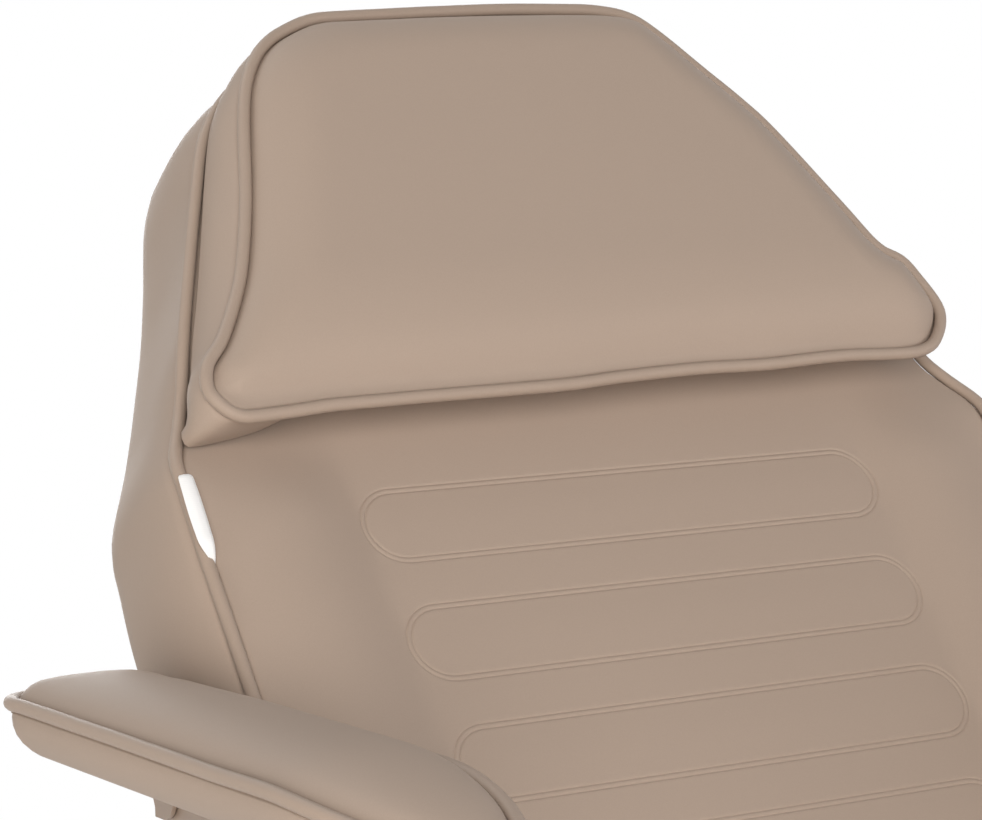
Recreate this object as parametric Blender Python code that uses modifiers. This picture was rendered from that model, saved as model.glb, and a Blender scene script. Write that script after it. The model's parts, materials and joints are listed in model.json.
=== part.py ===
# Beauty chair on a hydraulic column, at its real size.
# Metres, +Z up. The sitter looks along -Y, and +X is the sitter's left hand.
# The origin is on the floor, on the column's axis.
# Back angle, leg angle and lift are drawn as they stand at rest.

import math

import bmesh
import bpy
from mathutils import Matrix, Vector

# Fits
FIT = 0.0003                      # gap between pieces that touch
RUN = 0.001                       # gap between plates that swing past each other
PIN_FIT = 0.0004                  # radial play of a pin in its hole
OVERRUN = 0.004                   # how far a cutter runs past what it cuts
MERGE = 0.00005

# Whole chair
SEAT_TOP = 0.600
RECLINE = math.radians(39.4)      # back, from the vertical, at rest
LEG_DROOP = math.radians(40.0)    # leg rest, below the horizontal, at rest
BACK_FLAT = math.radians(90.0)    # back level with the seat
BACK_UPRIGHT = math.radians(20.0)
LEG_LOWEST = math.radians(60.0)

# Upholstery
PIPING = 0.0042                   # radius of the sewn piping
DRAW_IN = 0.004                   # how far long sides are pulled in between corners
GROOVE_WIDTH = 0.0035             # sewn channel round each oval
GROOVE_DEPTH = 0.0025
OVAL_PITCH = 0.0815
OVAL_HALF_HEIGHT = 0.0243
OVAL_HALF_WIDTH = 0.1915
OVAL_TAPER = 0.029                # half width lost for each metre down the back

# Seat
SEAT_HALF_WIDTH = 0.290
SEAT_FRONT = 0.300                # from the column's axis
SEAT_REAR = 0.215
SEAT_CROWN = 0.012
SEAT_PLATEAU = 0.075              # edge to the level middle of the face
SEAT_CORNER = 0.040
SEAT_OVALS = 5
SEAT_OVAL_SETBACK = 0.052         # front edge to the first oval's middle
BOARD_THICK = 0.012
BOARD_INSET = 0.010

# Back, measured up from its hinge and in from its front face
HINGE_DEPTH = 0.078
BACK_START = 0.062                # lower edge of the cushion above the hinge
BACK_THICK = 0.128
BACK_HALF_FOOT = 0.298
BACK_HALF_WAIST = 0.3045
BACK_BULGE = 0.008                # how far its boxing swells out
BACK_END_SHARES = (0.0, 1.0)      # of the bulge, at the foot, which has to clear the seat, and at the head
BACK_SHOULDER = 0.4535             # where the sides begin to lean in
BACK_HALF_HEAD = 0.181
BACK_TOP = 0.7726
BACK_FOOT_CORNER = 0.030
BACK_SHOULDER_CORNER = 0.060
BACK_HEAD_CORNER = 0.145
BOLSTER = 0.010                   # swell of the side bolsters over the middle
BOLSTER_MIDDLE = 0.243
BOLSTER_HALF_WIDTH = 0.046
BOLSTER_TOP = 0.468
BOLSTER_FADE = 0.070
FIRST_OVAL = 0.402
BACK_OVALS = 4

# Pillow, on the head end of the back
PILLOW_START = 0.463
PILLOW_TOP = 0.765
PILLOW_HALF_FOOT = 0.290
PILLOW_HALF_HEAD = 0.152
PILLOW_SHIFT = -0.006
PILLOW_TURN = math.radians(1.2)
PILLOW_EDGE = 0.045               # height of its front piping over the back
PILLOW_CROWN = 0.026
PILLOW_PLATEAU = 0.095
PILLOW_FLARE = 0.004              # its rear is this much wider on each side
PILLOW_LEAN = 0.022               # and this much nearer to the head
PILLOW_FOOT_CORNER = 0.026
PILLOW_HEAD_CORNER = 0.062
TAPE_THICK = 0.0015
TAPE_LENGTH = 0.300
TAPE_WIDTH = 0.050

# Leg rest
LEG_LENGTH = 0.470
LEG_THICK = 0.100
LEG_HALF_TOP = 0.285
LEG_HALF_FOOT = 0.235
LEG_CORNER = 0.030
LEG_FOOT_CORNER = 0.080
LEG_CROWN = 0.010
LEG_PLATEAU = 0.060
LEG_GAP = 0.005                   # to the seat, when level
LEG_OVALS = 4
LEG_OVAL_SETBACK = 0.085

# Armrests, measured from the pivot on the back
ARM_PIVOT_UP = 0.2779
ARM_PIVOT_DEPTH = 0.0695
ARM_TILT = math.radians(3.0)
ARM_BEHIND = 0.050
ARM_LENGTH = 0.480
ARM_GAP = 0.0155                   # from the widest cushion
ARM_WIDTH = 0.104
ARM_SEAT = 0.030                  # underside of the pad over the pivots
ARM_THICK = 0.032                 # underside to the outer piping
ARM_CROWN = 0.018
ARM_END_SHARES = (2.4, 3.6)       # how much slower the pad rises from its ends than from its sides
ARM_CORNER = 0.045
ARM_TAPER = 0.100                 # its front end narrows over this length
ARM_TIP_HALF = 0.024
ARM_TIP_CORNER = 0.022
ARM_TAPER_CORNER = 0.200
ARM_LINK_SPACING = 0.280
ARM_FLANGE = 0.056
ARM_BRACKET_MARGIN = 0.020

# Steel frame
TUBE = 0.025
TUBE_WALL = 0.0025
TUBE_CORNER = 0.004
PLATE = 0.005
LUG = 0.016                       # radius round a pivot hole
HINGE_PIN = 0.008
CLAMP_PIN = 0.006
ARM_PIN = 0.010
LINK_PIN = 0.005
LINK_HALF_WIDTH = 0.0125
PIN_HEAD = 0.003                  # thickness of a pin's head
PIN_HEAD_RIM = 0.004              # how far the head stands round the pin
SEAT_RAIL_X = 0.100
SEAT_CROSS_FRONT = -0.190
SEAT_CROSS_REAR = 0.100
RAIL_INSET = 0.0975               # the seat's side to the rails' middle
BACK_RAIL_START = 0.125
BACK_RAIL_LENGTH = 0.480
BACK_CROSS_SHARES = (0.10, 0.92)
LEG_RAIL_START = 0.022
LEG_RAIL_LENGTH = 0.380

# Locking quadrants, measured round their hinges
QUADRANT_WALL = 0.009             # steel left on each side of the slot
BACK_SLOT = 0.120
BACK_CLAMP_ANGLE = math.radians(-45.0)
BACK_QUADRANT_REACH = 0.075       # overlap with the back rail
LEG_SLOT = 0.090
LEG_CLAMP_ANGLE = math.radians(-86.0)
LEG_QUADRANT_REACH = 0.130
SLOT_MARGIN = math.radians(7.0)
SLOT_PLAY = 0.0008                # past the rod at both ends of its travel

# Clamp levers
LEVER_HUB = 0.012
LEVER_HUB_LENGTH = 0.016
LEVER_RADIUS = 0.0055
LEVER_LENGTH = 0.095
LEVER_GRIP = 0.009
LEVER_GRIP_LENGTH = 0.050
LEVER_SPLAY = 0.014
LEVER_LEAN = math.radians(-70.0)

# Base and column
BASE_RADIUS = 0.300
BASE_RING = 0.017                 # width of the rubber foot ring
BASE_RING_HEIGHT = 0.016
BASE_PLATE = 0.010
BASE_RIM = 0.0045                 # cover's thickness at its rim
COVER_RISE = 0.052
COVER_NECK = 0.020                # width of the cover's flat neck
COVER_STEPS = 7
HOUSING_RADIUS = 0.055
HOUSING_DROP = 0.270              # seat top down to the pump's top
HOUSING_CHAMFER = 0.004
HOUSING_BORE_BOTTOM = 0.110
COLLAR_WIDTH = 0.014
COLLAR_HEIGHT = 0.018
GLAND_RADIUS = 0.046
GLAND_HEIGHT = 0.012
RAM_RADIUS = 0.025
WASHER_RADIUS = 0.038
WASHER_THICK = 0.003
HUB_RADIUS = 0.042
HUB_HEIGHT = 0.055
HUB_SKIN = 0.014
FLANGE_RADIUS = 0.130
FLANGE_THICK = 0.009

# Pump pedal
PEDAL_PIVOT = 0.088               # from the column's axis
PEDAL_HEIGHT = 0.130
PEDAL_REACH = 0.350
PEDAL_RISE = 0.020
PEDAL_HUB = 0.014
PEDAL_THICK = 0.014
PEDAL_BAR = 0.012
PEDAL_PIN = 0.005
EAR_THICK = 0.006
PEDAL_PAD_LENGTH = 0.074
PEDAL_PAD_WIDTH = 0.090
PEDAL_PAD_THICK = 0.014
PEDAL_PAD_EDGE = 0.004

# Swivel lock
SWIVEL_LEVER_DROP = 0.012         # below the flange
SWIVEL_LEVER_RADIUS = 0.005
SWIVEL_LEVER_REACH = 0.175
SWIVEL_LEVER_DIP = 0.034
SWIVEL_KNOB = 0.012

# Places that follow from the sizes above
HOUSING_TOP = SEAT_TOP - HOUSING_DROP
HUB_TOP = HOUSING_TOP + GLAND_HEIGHT + WASHER_THICK + 3 * FIT + HUB_HEIGHT
RAIL_Z = HUB_TOP + FIT + TUBE / 2
CROSS_Z = RAIL_Z + TUBE + FIT
BOARD_Z = CROSS_Z + TUBE / 2 + FIT
SEAT_Z = BOARD_Z + BOARD_THICK + FIT
HINGE_Y = SEAT_REAR + LUG + 2 * RUN
HINGE_Z = SEAT_TOP - HINGE_DEPTH
LEG_HINGE_Y = -(SEAT_FRONT + LUG + 2 * RUN)
LEG_HINGE_Z = SEAT_TOP - LEG_THICK - BOARD_THICK - TUBE / 2 - 2 * FIT
BACK_RAIL_X = SEAT_HALF_WIDTH - RAIL_INSET
QUADRANT_X = BACK_RAIL_X + TUBE / 2 + FIT + PLATE / 2
BRACKET_X = QUADRANT_X + PLATE + RUN
PIN_END_X = BRACKET_X + PLATE / 2 + RUN
ARM_INNER = max(BACK_HALF_WAIST, SEAT_HALF_WIDTH, LEG_HALF_TOP) + ARM_GAP
STAND_X = ARM_INNER + PLATE / 2 - 2 * RUN
LINK_X = STAND_X + PLATE + RUN
ARM_BRACKET_X = LINK_X + PLATE + RUN

STEEL = ("#3B3D40", 0.45, 1.0)
CHROME = ("#C9CCCF", 0.12, 1.0)
RUBBER = ("#1E1E1F", 0.85, 0.0)
LEATHERETTE = ("#AB9889", 0.55, 0.0)
PLYWOOD = ("#B79468", 0.70, 0.0)
PLASTIC = ("#232324", 0.50, 0.0)
TAPE = ("#8C7D70", 0.95, 0.0)

ALONG_X = (math.pi / 2, 0, math.pi / 2)   # a flat outline then lies in Y and Z
ALONG_Y = (-math.pi / 2, 0, 0)
FACING_FRONT = (math.pi / 2, 0, 0)        # a cushion's face then looks along -Y

parts = bpy.data.collections.new("beauty_chair")
tools = bpy.data.collections.new("cutters")


def clear_scene():
    for old in list(bpy.data.objects):
        bpy.data.objects.remove(old, do_unlink=True)
    bpy.context.scene.collection.children.link(parts)
    bpy.context.scene.collection.children.link(tools)


def linear(channel):
    return channel / 12.92 if channel <= 0.04045 else ((channel + 0.055) / 1.055) ** 2.4


def material(name, finish):
    colour, roughness, metallic = finish
    red, green, blue = (int(colour[i:i + 2], 16) / 255 for i in (1, 3, 5))
    made = bpy.data.materials.new(name)
    made.use_nodes = True
    shader = made.node_tree.nodes["Principled BSDF"]
    shader.inputs["Base Color"].default_value = (linear(red), linear(green), linear(blue), 1)
    shader.inputs["Roughness"].default_value = roughness
    shader.inputs["Metallic"].default_value = metallic
    return made


def axis(name, place, turn=0.0, parent=None):
    """An empty on a joint's axis, turned about X."""
    empty = bpy.data.objects.new(name, None)
    empty.location = place
    empty.rotation_euler = (turn, 0, 0)
    empty.parent = parent
    parts.objects.link(empty)
    return empty


def add(name, data, finish=None, place=(0, 0, 0), turn=(0, 0, 0), parent=None):
    """A named piece with its own material, or a cutter where no finish is given."""
    piece = bpy.data.objects.new(name, data)
    piece.location = place
    piece.rotation_euler = turn
    piece.parent = parent
    if finish:
        parts.objects.link(piece)
        data.materials.append(material(name, finish))
    else:
        tools.objects.link(piece)
        piece.hide_render = True
        piece.display_type = "WIRE"
    return piece


def shade(mesh, angle=math.radians(35)):
    mesh.shade_smooth()
    mesh.set_sharp_from_angle(angle=angle)


def arc(middle, radius, start, end, steps):
    """Points round a centre, from one angle to another."""
    turns = [start + (end - start) * i / steps for i in range(steps + 1)]
    return [(middle[0] + radius * math.cos(t), middle[1] + radius * math.sin(t)) for t in turns]


def circle(middle, radius, steps=12):
    return arc(middle, radius, 0, 2 * math.pi, steps)[:-1]


def rounded(corners, radii, steps=2):
    """A closed outline with each corner turned into an arc."""
    points = []
    for i, (corner, radius) in enumerate(zip(corners, radii)):
        here = Vector(corner)
        before = (Vector(corners[i - 1]) - here).normalized()
        after = (Vector(corners[(i + 1) % len(corners)]) - here).normalized()
        half = before.angle(after) / 2
        middle = here + (before + after).normalized() * radius / math.sin(half)
        first = here + before * radius / math.tan(half) - middle
        last = here + after * radius / math.tan(half) - middle
        start = math.atan2(first.y, first.x)
        sweep = math.atan2(first.cross(last), first.dot(last))
        points += arc(middle, radius, start, start + sweep, steps)
    return points


def box_outline(width, height, radius, steps=2):
    x, y = width / 2, height / 2
    return rounded([(-x, -y), (x, -y), (x, y), (-x, y)], [radius] * 4, steps)


def drawn(outline, longest, depth):
    """Adds points along the long sides and pulls them in between the corners."""
    points = []
    for i, point in enumerate(outline):
        start = Vector(point)
        side = Vector(outline[(i + 1) % len(outline)]) - start
        count = max(1, round(side.length / longest))
        inward = Vector((-side.y, side.x)).normalized()
        for k in range(count):
            share = k / count
            points.append(tuple(start + side * share + inward * depth * math.sin(math.pi * share)))
    return points


def flat(name, outlines, thickness, finish=None, place=(0, 0, 0), turn=(0, 0, 0), parent=None):
    """A flat outline, with any further outlines as holes, given a thickness."""
    curve = bpy.data.curves.new(name, "CURVE")
    curve.dimensions = "2D"
    curve.fill_mode = "BOTH"
    curve.extrude = thickness / 2
    for outline in outlines:
        spline = curve.splines.new("POLY")
        spline.points.add(len(outline) - 1)
        for point, (x, y) in zip(spline.points, outline):
            point.co = (x, y, 0, 1)
        spline.use_cyclic_u = True
    return add(name, curve, finish, place, turn, parent)


def rod(name, points, radius, finish=None, parent=None, place=(0, 0, 0), sides=3):
    """A round bar along a line of points."""
    curve = bpy.data.curves.new(name, "CURVE")
    curve.dimensions = "3D"
    curve.bevel_depth = radius
    curve.bevel_resolution = sides
    curve.use_fill_caps = True
    spline = curve.splines.new("POLY")
    spline.points.add(len(points) - 1)
    for point, co in zip(spline.points, points):
        point.co = (*co, 1)
    return add(name, curve, finish, place, (0, 0, 0), parent)


def as_mesh(piece):
    """Makes a curve piece a mesh with welded caps, so that it can be cut and joined."""
    bpy.context.view_layer.update()
    seen = piece.evaluated_get(bpy.context.evaluated_depsgraph_get())
    mesh = bpy.data.meshes.new_from_object(seen)
    shape = bmesh.new()
    shape.from_mesh(mesh)
    bmesh.ops.remove_doubles(shape, verts=shape.verts, dist=MERGE)
    bmesh.ops.recalc_face_normals(shape, faces=shape.faces)
    shape.to_mesh(mesh)
    shape.free()
    name = piece.name
    made = bpy.data.objects.new(name, mesh)
    made.parent = piece.parent
    made.location, made.rotation_euler = piece.location.copy(), piece.rotation_euler.copy()
    made.hide_render, made.display_type = piece.hide_render, piece.display_type
    for home in piece.users_collection:
        home.objects.link(made)
    bpy.data.objects.remove(piece, do_unlink=True)
    made.name = name
    return made


def turned(name, profile, finish=None, closed=False, steps=32, place=(0, 0, 0), turn=(0, 0, 0), parent=None):
    """A profile of (radius, height) spun round Z; it runs down its outer side."""
    mesh = bpy.data.meshes.new(name)
    edges = [(i, i + 1) for i in range(len(profile) - 1)]
    if closed:
        edges.append((len(profile) - 1, 0))
    mesh.from_pydata([(radius, 0, height) for radius, height in profile], edges, [])
    piece = add(name, mesh, finish, place, turn, parent)
    screw = piece.modifiers.new("spin", "SCREW")
    screw.steps = screw.render_steps = steps
    screw.use_merge_vertices = True
    screw.merge_threshold = MERGE
    screw.use_smooth_shade = True
    return piece


def boolean(piece, other, operation):
    change = piece.modifiers.new(operation.lower(), "BOOLEAN")
    change.operation = operation
    change.object = other
    change.solver = "EXACT"


def cylinder(name, radius, length, finish=None, place=(0, 0, 0), turn=(0, 0, 0), parent=None, sides=24):
    mesh = bpy.data.meshes.new(name)
    shape = bmesh.new()
    bmesh.ops.create_cone(shape, cap_ends=True, segments=sides, radius1=radius, radius2=radius, depth=length)
    shape.to_mesh(mesh)
    shape.free()
    shade(mesh)
    return add(name, mesh, finish, place, turn, parent)


def pin(name, radius, start, end, finish, place, parent=None, heads=(True, True)):
    """A pin along X, with a round head outside either end."""
    rim = radius + PIN_HEAD_RIM
    profile = [(0, end), (radius, end)]
    if heads[1]:
        profile = [(0, end + PIN_HEAD), (rim, end + PIN_HEAD), (rim, end), (radius, end)]
    if heads[0]:
        profile += [(radius, start), (rim, start), (rim, start - PIN_HEAD), (0, start - PIN_HEAD)]
    else:
        profile += [(radius, start), (0, start)]
    return turned(name, profile, finish, steps=14, place=place, turn=ALONG_X, parent=parent)


def square_tube(name, length, place, turn, parent=None):
    inner = TUBE - 2 * TUBE_WALL
    outlines = [box_outline(TUBE, TUBE, TUBE_CORNER), box_outline(inner, inner, TUBE_CORNER - TUBE_WALL, 1)]
    return flat(name, outlines, length, STEEL, place, turn, parent)


def cushion(name, outline, rings, parent=None, place=(0, 0, 0), turn=(0, 0, 0), swell=None, end_shares=(1.0, 1.0), lean=0.0):
    """A soft form: one outline drawn in and raised ring by ring, under subdivision."""
    low = Vector((min(p[0] for p in outline), min(p[1] for p in outline)))
    high = Vector((max(p[0] for p in outline), max(p[1] for p in outline)))
    middle, half = (low + high) / 2, (high - low) / 2
    mesh = bpy.data.meshes.new(name)
    shape = bmesh.new()
    loops = []
    for inset, height in rings:
        loop = []
        for point in outline:
            away = Vector(point) - middle
            along = 1 - max(inset, inset * end_shares[away.y > 0]) / half.y
            at = middle + Vector((away.x * (1 - inset / half.x), away.y * along))
            extra = swell(at) if swell and height >= 0 else 0
            loop.append(shape.verts.new((at.x, at.y + lean * min(height, 0) / rings[-1][1], height + extra)))
        loops.append(loop)
    for upper, lower in zip(loops, loops[1:]):
        for i in range(len(outline)):
            k = (i + 1) % len(outline)
            shape.faces.new((upper[i], lower[i], lower[k], upper[k]))
    shape.faces.new(loops[0])
    shape.faces.new(loops[-1][::-1])
    bmesh.ops.recalc_face_normals(shape, faces=shape.faces)
    shape.to_mesh(mesh)
    shape.free()
    mesh.shade_smooth()
    piece = add(name, mesh, LEATHERETTE, place, turn, parent)
    smooth = piece.modifiers.new("soft", "SUBSURF")
    smooth.levels = smooth.render_levels = 1
    return piece


def padded_rings(thick, face, draw_in=DRAW_IN, rear=0.0):
    """The rings of a face, then the piping round it, the boxing with its sides drawn in, and the underside."""
    return face + [
        (3 * PIPING, -PIPING / 3),
        (PIPING * 0.6, PIPING),
        (-PIPING * 0.3, 0),
        (PIPING * 0.6, -PIPING),
        (PIPING / 2 + draw_in, -thick / 2),
        (PIPING / 4 - rear, PIPING - thick),
        (2 * PIPING - rear, -thick),
    ]


def stadium(middle, half_width, half_height, steps=6):
    """Two half circles joined by straight lines."""
    run = half_width - half_height
    right = arc((middle[0] + run, middle[1]), half_height, -math.pi / 2, math.pi / 2, steps)
    left = arc((middle[0] - run, middle[1]), half_height, math.pi / 2, 3 * math.pi / 2, steps)
    return right + left


def channels(name, piece, ovals, face, turn, parent, place=(0, 0, 0)):
    """Cuts the sewn channel round each oval into a cushion's flat middle."""
    outlines = []
    for middle, half_width in ovals:
        outlines.append(stadium(middle, half_width, OVAL_HALF_HEIGHT))
        inner = OVAL_HALF_HEIGHT - GROOVE_WIDTH
        outlines.append(stadium(middle, half_width - GROOVE_WIDTH, inner))
    depth = GROOVE_DEPTH + OVERRUN
    cutter = as_mesh(flat(name, outlines, depth, None, place, turn, parent))
    cutter.data.transform(Matrix.Translation((0, 0, face - GROOVE_DEPTH + depth / 2)))
    boolean(piece, cutter, "DIFFERENCE")


def back_point(depth, up):
    """A place on the back, given in from its front face and up from its hinge."""
    y = depth - HINGE_DEPTH
    return Vector((
        0,
        HINGE_Y + y * math.cos(RECLINE) + up * math.sin(RECLINE),
        HINGE_Z - y * math.sin(RECLINE) + up * math.cos(RECLINE),
    ))


def base():
    plate_radius = BASE_RADIUS - BASE_RING - FIT
    turned(
        "base_plate",
        [(0, BASE_PLATE), (plate_radius, BASE_PLATE), (plate_radius, 0), (0, 0)],
        STEEL, steps=48,
    )
    inner = BASE_RADIUS - BASE_RING
    bevel = BASE_RING / 4
    turned(
        "base_ring",
        [
            (inner, BASE_RING_HEIGHT),
            (BASE_RADIUS - 2 * bevel, BASE_RING_HEIGHT),
            (BASE_RADIUS - bevel / 2, BASE_RING_HEIGHT - bevel),
            (BASE_RADIUS, BASE_RING_HEIGHT / 2),
            (BASE_RADIUS, 0),
            (inner, 0),
        ],
        RUBBER, closed=True, steps=48,
    )
    bottom = BASE_PLATE + FIT
    neck = HOUSING_RADIUS + FIT + COVER_NECK
    rim = plate_radius - FIT
    dome = []
    for i in range(COVER_STEPS + 1):
        share = i / COVER_STEPS
        fall = 0.5 + 0.5 * math.cos(math.pi * share)
        dome.append((neck + (rim - neck) * share, bottom + BASE_RIM + COVER_RISE * fall ** 1.6))
    profile = [(HOUSING_RADIUS + FIT, dome[0][1])] + dome + [(rim, bottom), (HOUSING_RADIUS + FIT, bottom)]
    turned("base_cover", profile, CHROME, closed=True, steps=48)
    cover_top = dome[0][1]
    low = cover_top + FIT
    inside = HOUSING_RADIUS + FIT
    turned(
        "column_collar",
        [
            (inside, low + COLLAR_HEIGHT),
            (inside + COLLAR_WIDTH / 3, low + COLLAR_HEIGHT),
            (inside + COLLAR_WIDTH, low + COLLAR_HEIGHT / 3),
            (inside + COLLAR_WIDTH, low),
            (inside, low),
        ],
        RUBBER, closed=True,
    )
    bore = RAM_RADIUS + FIT
    housing = turned(
        "pump_housing",
        [
            (0, HOUSING_BORE_BOTTOM),
            (bore, HOUSING_BORE_BOTTOM),
            (bore, HOUSING_TOP),
            (HOUSING_RADIUS - HOUSING_CHAMFER, HOUSING_TOP),
            (HOUSING_RADIUS, HOUSING_TOP - HOUSING_CHAMFER),
            (HOUSING_RADIUS, bottom),
            (0, bottom),
        ],
        CHROME,
    )
    ears = pedal_ears()
    boolean(housing, ears, "UNION")
    hole = cylinder(
        "pedal_pin_hole", PEDAL_PIN + PIN_FIT, 4 * PEDAL_THICK,
        place=(PEDAL_PIVOT, 0, PEDAL_HEIGHT), turn=(math.pi / 2, 0, 0),
    )
    boolean(housing, hole, "DIFFERENCE")
    low = HOUSING_TOP + FIT
    turned(
        "ram_gland",
        [
            (bore, low + GLAND_HEIGHT),
            (GLAND_RADIUS - GLAND_HEIGHT / 3, low + GLAND_HEIGHT),
            (GLAND_RADIUS, low + GLAND_HEIGHT * 2 / 3),
            (GLAND_RADIUS, low),
            (bore, low),
        ],
        PLASTIC, closed=True,
    )


def pedal_ears():
    """Two ears on the pump's side that carry the pedal's pin."""
    gap = PEDAL_THICK + 2 * RUN
    root = HOUSING_RADIUS - 2 * OVERRUN
    outline = [(root, PEDAL_HEIGHT + 2 * PEDAL_HUB), (PEDAL_PIVOT, PEDAL_HEIGHT + PEDAL_HUB)]
    outline += arc((PEDAL_PIVOT, PEDAL_HEIGHT), PEDAL_HUB, math.pi / 2, -math.pi / 2, 8)[1:-1]
    outline += [(PEDAL_PIVOT, PEDAL_HEIGHT - PEDAL_HUB), (root, PEDAL_HEIGHT - 2 * PEDAL_HUB)]
    ears = []
    for side in (-1, 1):
        place = (0, side * (gap + EAR_THICK) / 2, 0)
        ears.append(as_mesh(flat(f"pedal_ear_{side}", [outline], EAR_THICK, None, place, FACING_FRONT)))
    boolean(ears[0], ears[1], "UNION")
    return ears[0]


def pedal():
    pivot = axis("pedal_axis", (PEDAL_PIVOT, 0, PEDAL_HEIGHT))
    length = 2 * EAR_THICK + PEDAL_THICK + 2 * RUN
    turned(
        "pedal_pin",
        [
            (0, length / 2 + PIN_HEAD), (PEDAL_PIN + PIN_HEAD_RIM, length / 2 + PIN_HEAD),
            (PEDAL_PIN + PIN_HEAD_RIM, length / 2 + FIT), (PEDAL_PIN, length / 2 + FIT),
            (PEDAL_PIN, -length / 2 - FIT), (PEDAL_PIN + PIN_HEAD_RIM, -length / 2 - FIT),
            (PEDAL_PIN + PIN_HEAD_RIM, -length / 2 - PIN_HEAD), (0, -length / 2 - PIN_HEAD),
        ],
        STEEL, steps=14, turn=ALONG_Y, parent=pivot,
    )
    reach = PEDAL_REACH - PEDAL_PIVOT
    top = PEDAL_RISE
    bar = PEDAL_BAR
    flat_start = reach - PEDAL_PAD_LENGTH
    outline = arc((0, 0), PEDAL_HUB, math.pi * 0.45, math.pi * 1.55, 12)
    outline += [(flat_start, top - bar), (reach - bar / 2, top - bar), (reach, top - bar / 2)]
    outline += [(reach, top), (flat_start, top)]
    hole = circle((0, 0), PEDAL_PIN + PIN_FIT)
    flat("pedal_lever", [outline, hole], PEDAL_THICK, CHROME, (0, 0, 0), FACING_FRONT, pivot)
    pad = flat(
        "pedal_pad", [box_outline(PEDAL_PAD_LENGTH, PEDAL_PAD_WIDTH, 3 * PEDAL_PAD_EDGE, 4)],
        PEDAL_PAD_THICK - 2 * PEDAL_PAD_EDGE, RUBBER,
        (flat_start + PEDAL_PAD_LENGTH / 2, 0, top + FIT + PEDAL_PAD_THICK / 2), (0, 0, 0), pivot,
    )
    pad.data.bevel_depth = PEDAL_PAD_EDGE
    pad.data.bevel_resolution = 1
    pad.data.offset = -PEDAL_PAD_EDGE


def lift():
    bottom = HOUSING_BORE_BOTTOM + 2 * FIT
    top = HUB_TOP - HUB_SKIN - FIT
    washer = HOUSING_TOP + GLAND_HEIGHT + 2 * FIT
    turned("ram", [(0, top), (RAM_RADIUS, top), (RAM_RADIUS, bottom), (0, bottom)], CHROME)
    inside = RAM_RADIUS + FIT
    turned(
        "thrust_washer",
        [
            (inside, washer + WASHER_THICK), (WASHER_RADIUS, washer + WASHER_THICK),
            (WASHER_RADIUS, washer), (inside, washer),
        ],
        STEEL, closed=True,
    )


def hub():
    bore = RAM_RADIUS + FIT
    low = HUB_TOP - HUB_HEIGHT
    turned(
        "swivel_hub",
        [
            (0, HUB_TOP), (FLANGE_RADIUS, HUB_TOP), (FLANGE_RADIUS, HUB_TOP - FLANGE_THICK),
            (HUB_RADIUS + FLANGE_THICK, HUB_TOP - FLANGE_THICK),
            (HUB_RADIUS, HUB_TOP - 2 * FLANGE_THICK), (HUB_RADIUS, low),
            (bore, low), (bore, HUB_TOP - HUB_SKIN), (0, HUB_TOP - HUB_SKIN),
        ],
        STEEL,
    )


def swivel_lever():
    """A clamp screw in the hub's side, with a cranked handle and a ball."""
    place = (HUB_RADIUS + FIT, 0, HUB_TOP - 2 * FLANGE_THICK - SWIVEL_LEVER_DROP)
    pivot = axis("swivel_lever_axis", place)
    reach = SWIVEL_LEVER_REACH - HUB_RADIUS
    handle = as_mesh(rod(
        "swivel_lever",
        [(0, 0, 0), (reach * 0.35, 0, 0), (reach * 0.45, 0, -SWIVEL_LEVER_DIP * 0.1), (reach, 0, -SWIVEL_LEVER_DIP)],
        SWIVEL_LEVER_RADIUS, CHROME, pivot,
    ))
    mesh = bpy.data.meshes.new("swivel_knob")
    shape = bmesh.new()
    bmesh.ops.create_uvsphere(shape, u_segments=16, v_segments=10, radius=SWIVEL_KNOB)
    shape.to_mesh(mesh)
    shape.free()
    mesh.shade_smooth()
    knob = add("swivel_knob", mesh, place=(reach, 0, -SWIVEL_LEVER_DIP), parent=pivot)
    boolean(handle, knob, "UNION")


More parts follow.
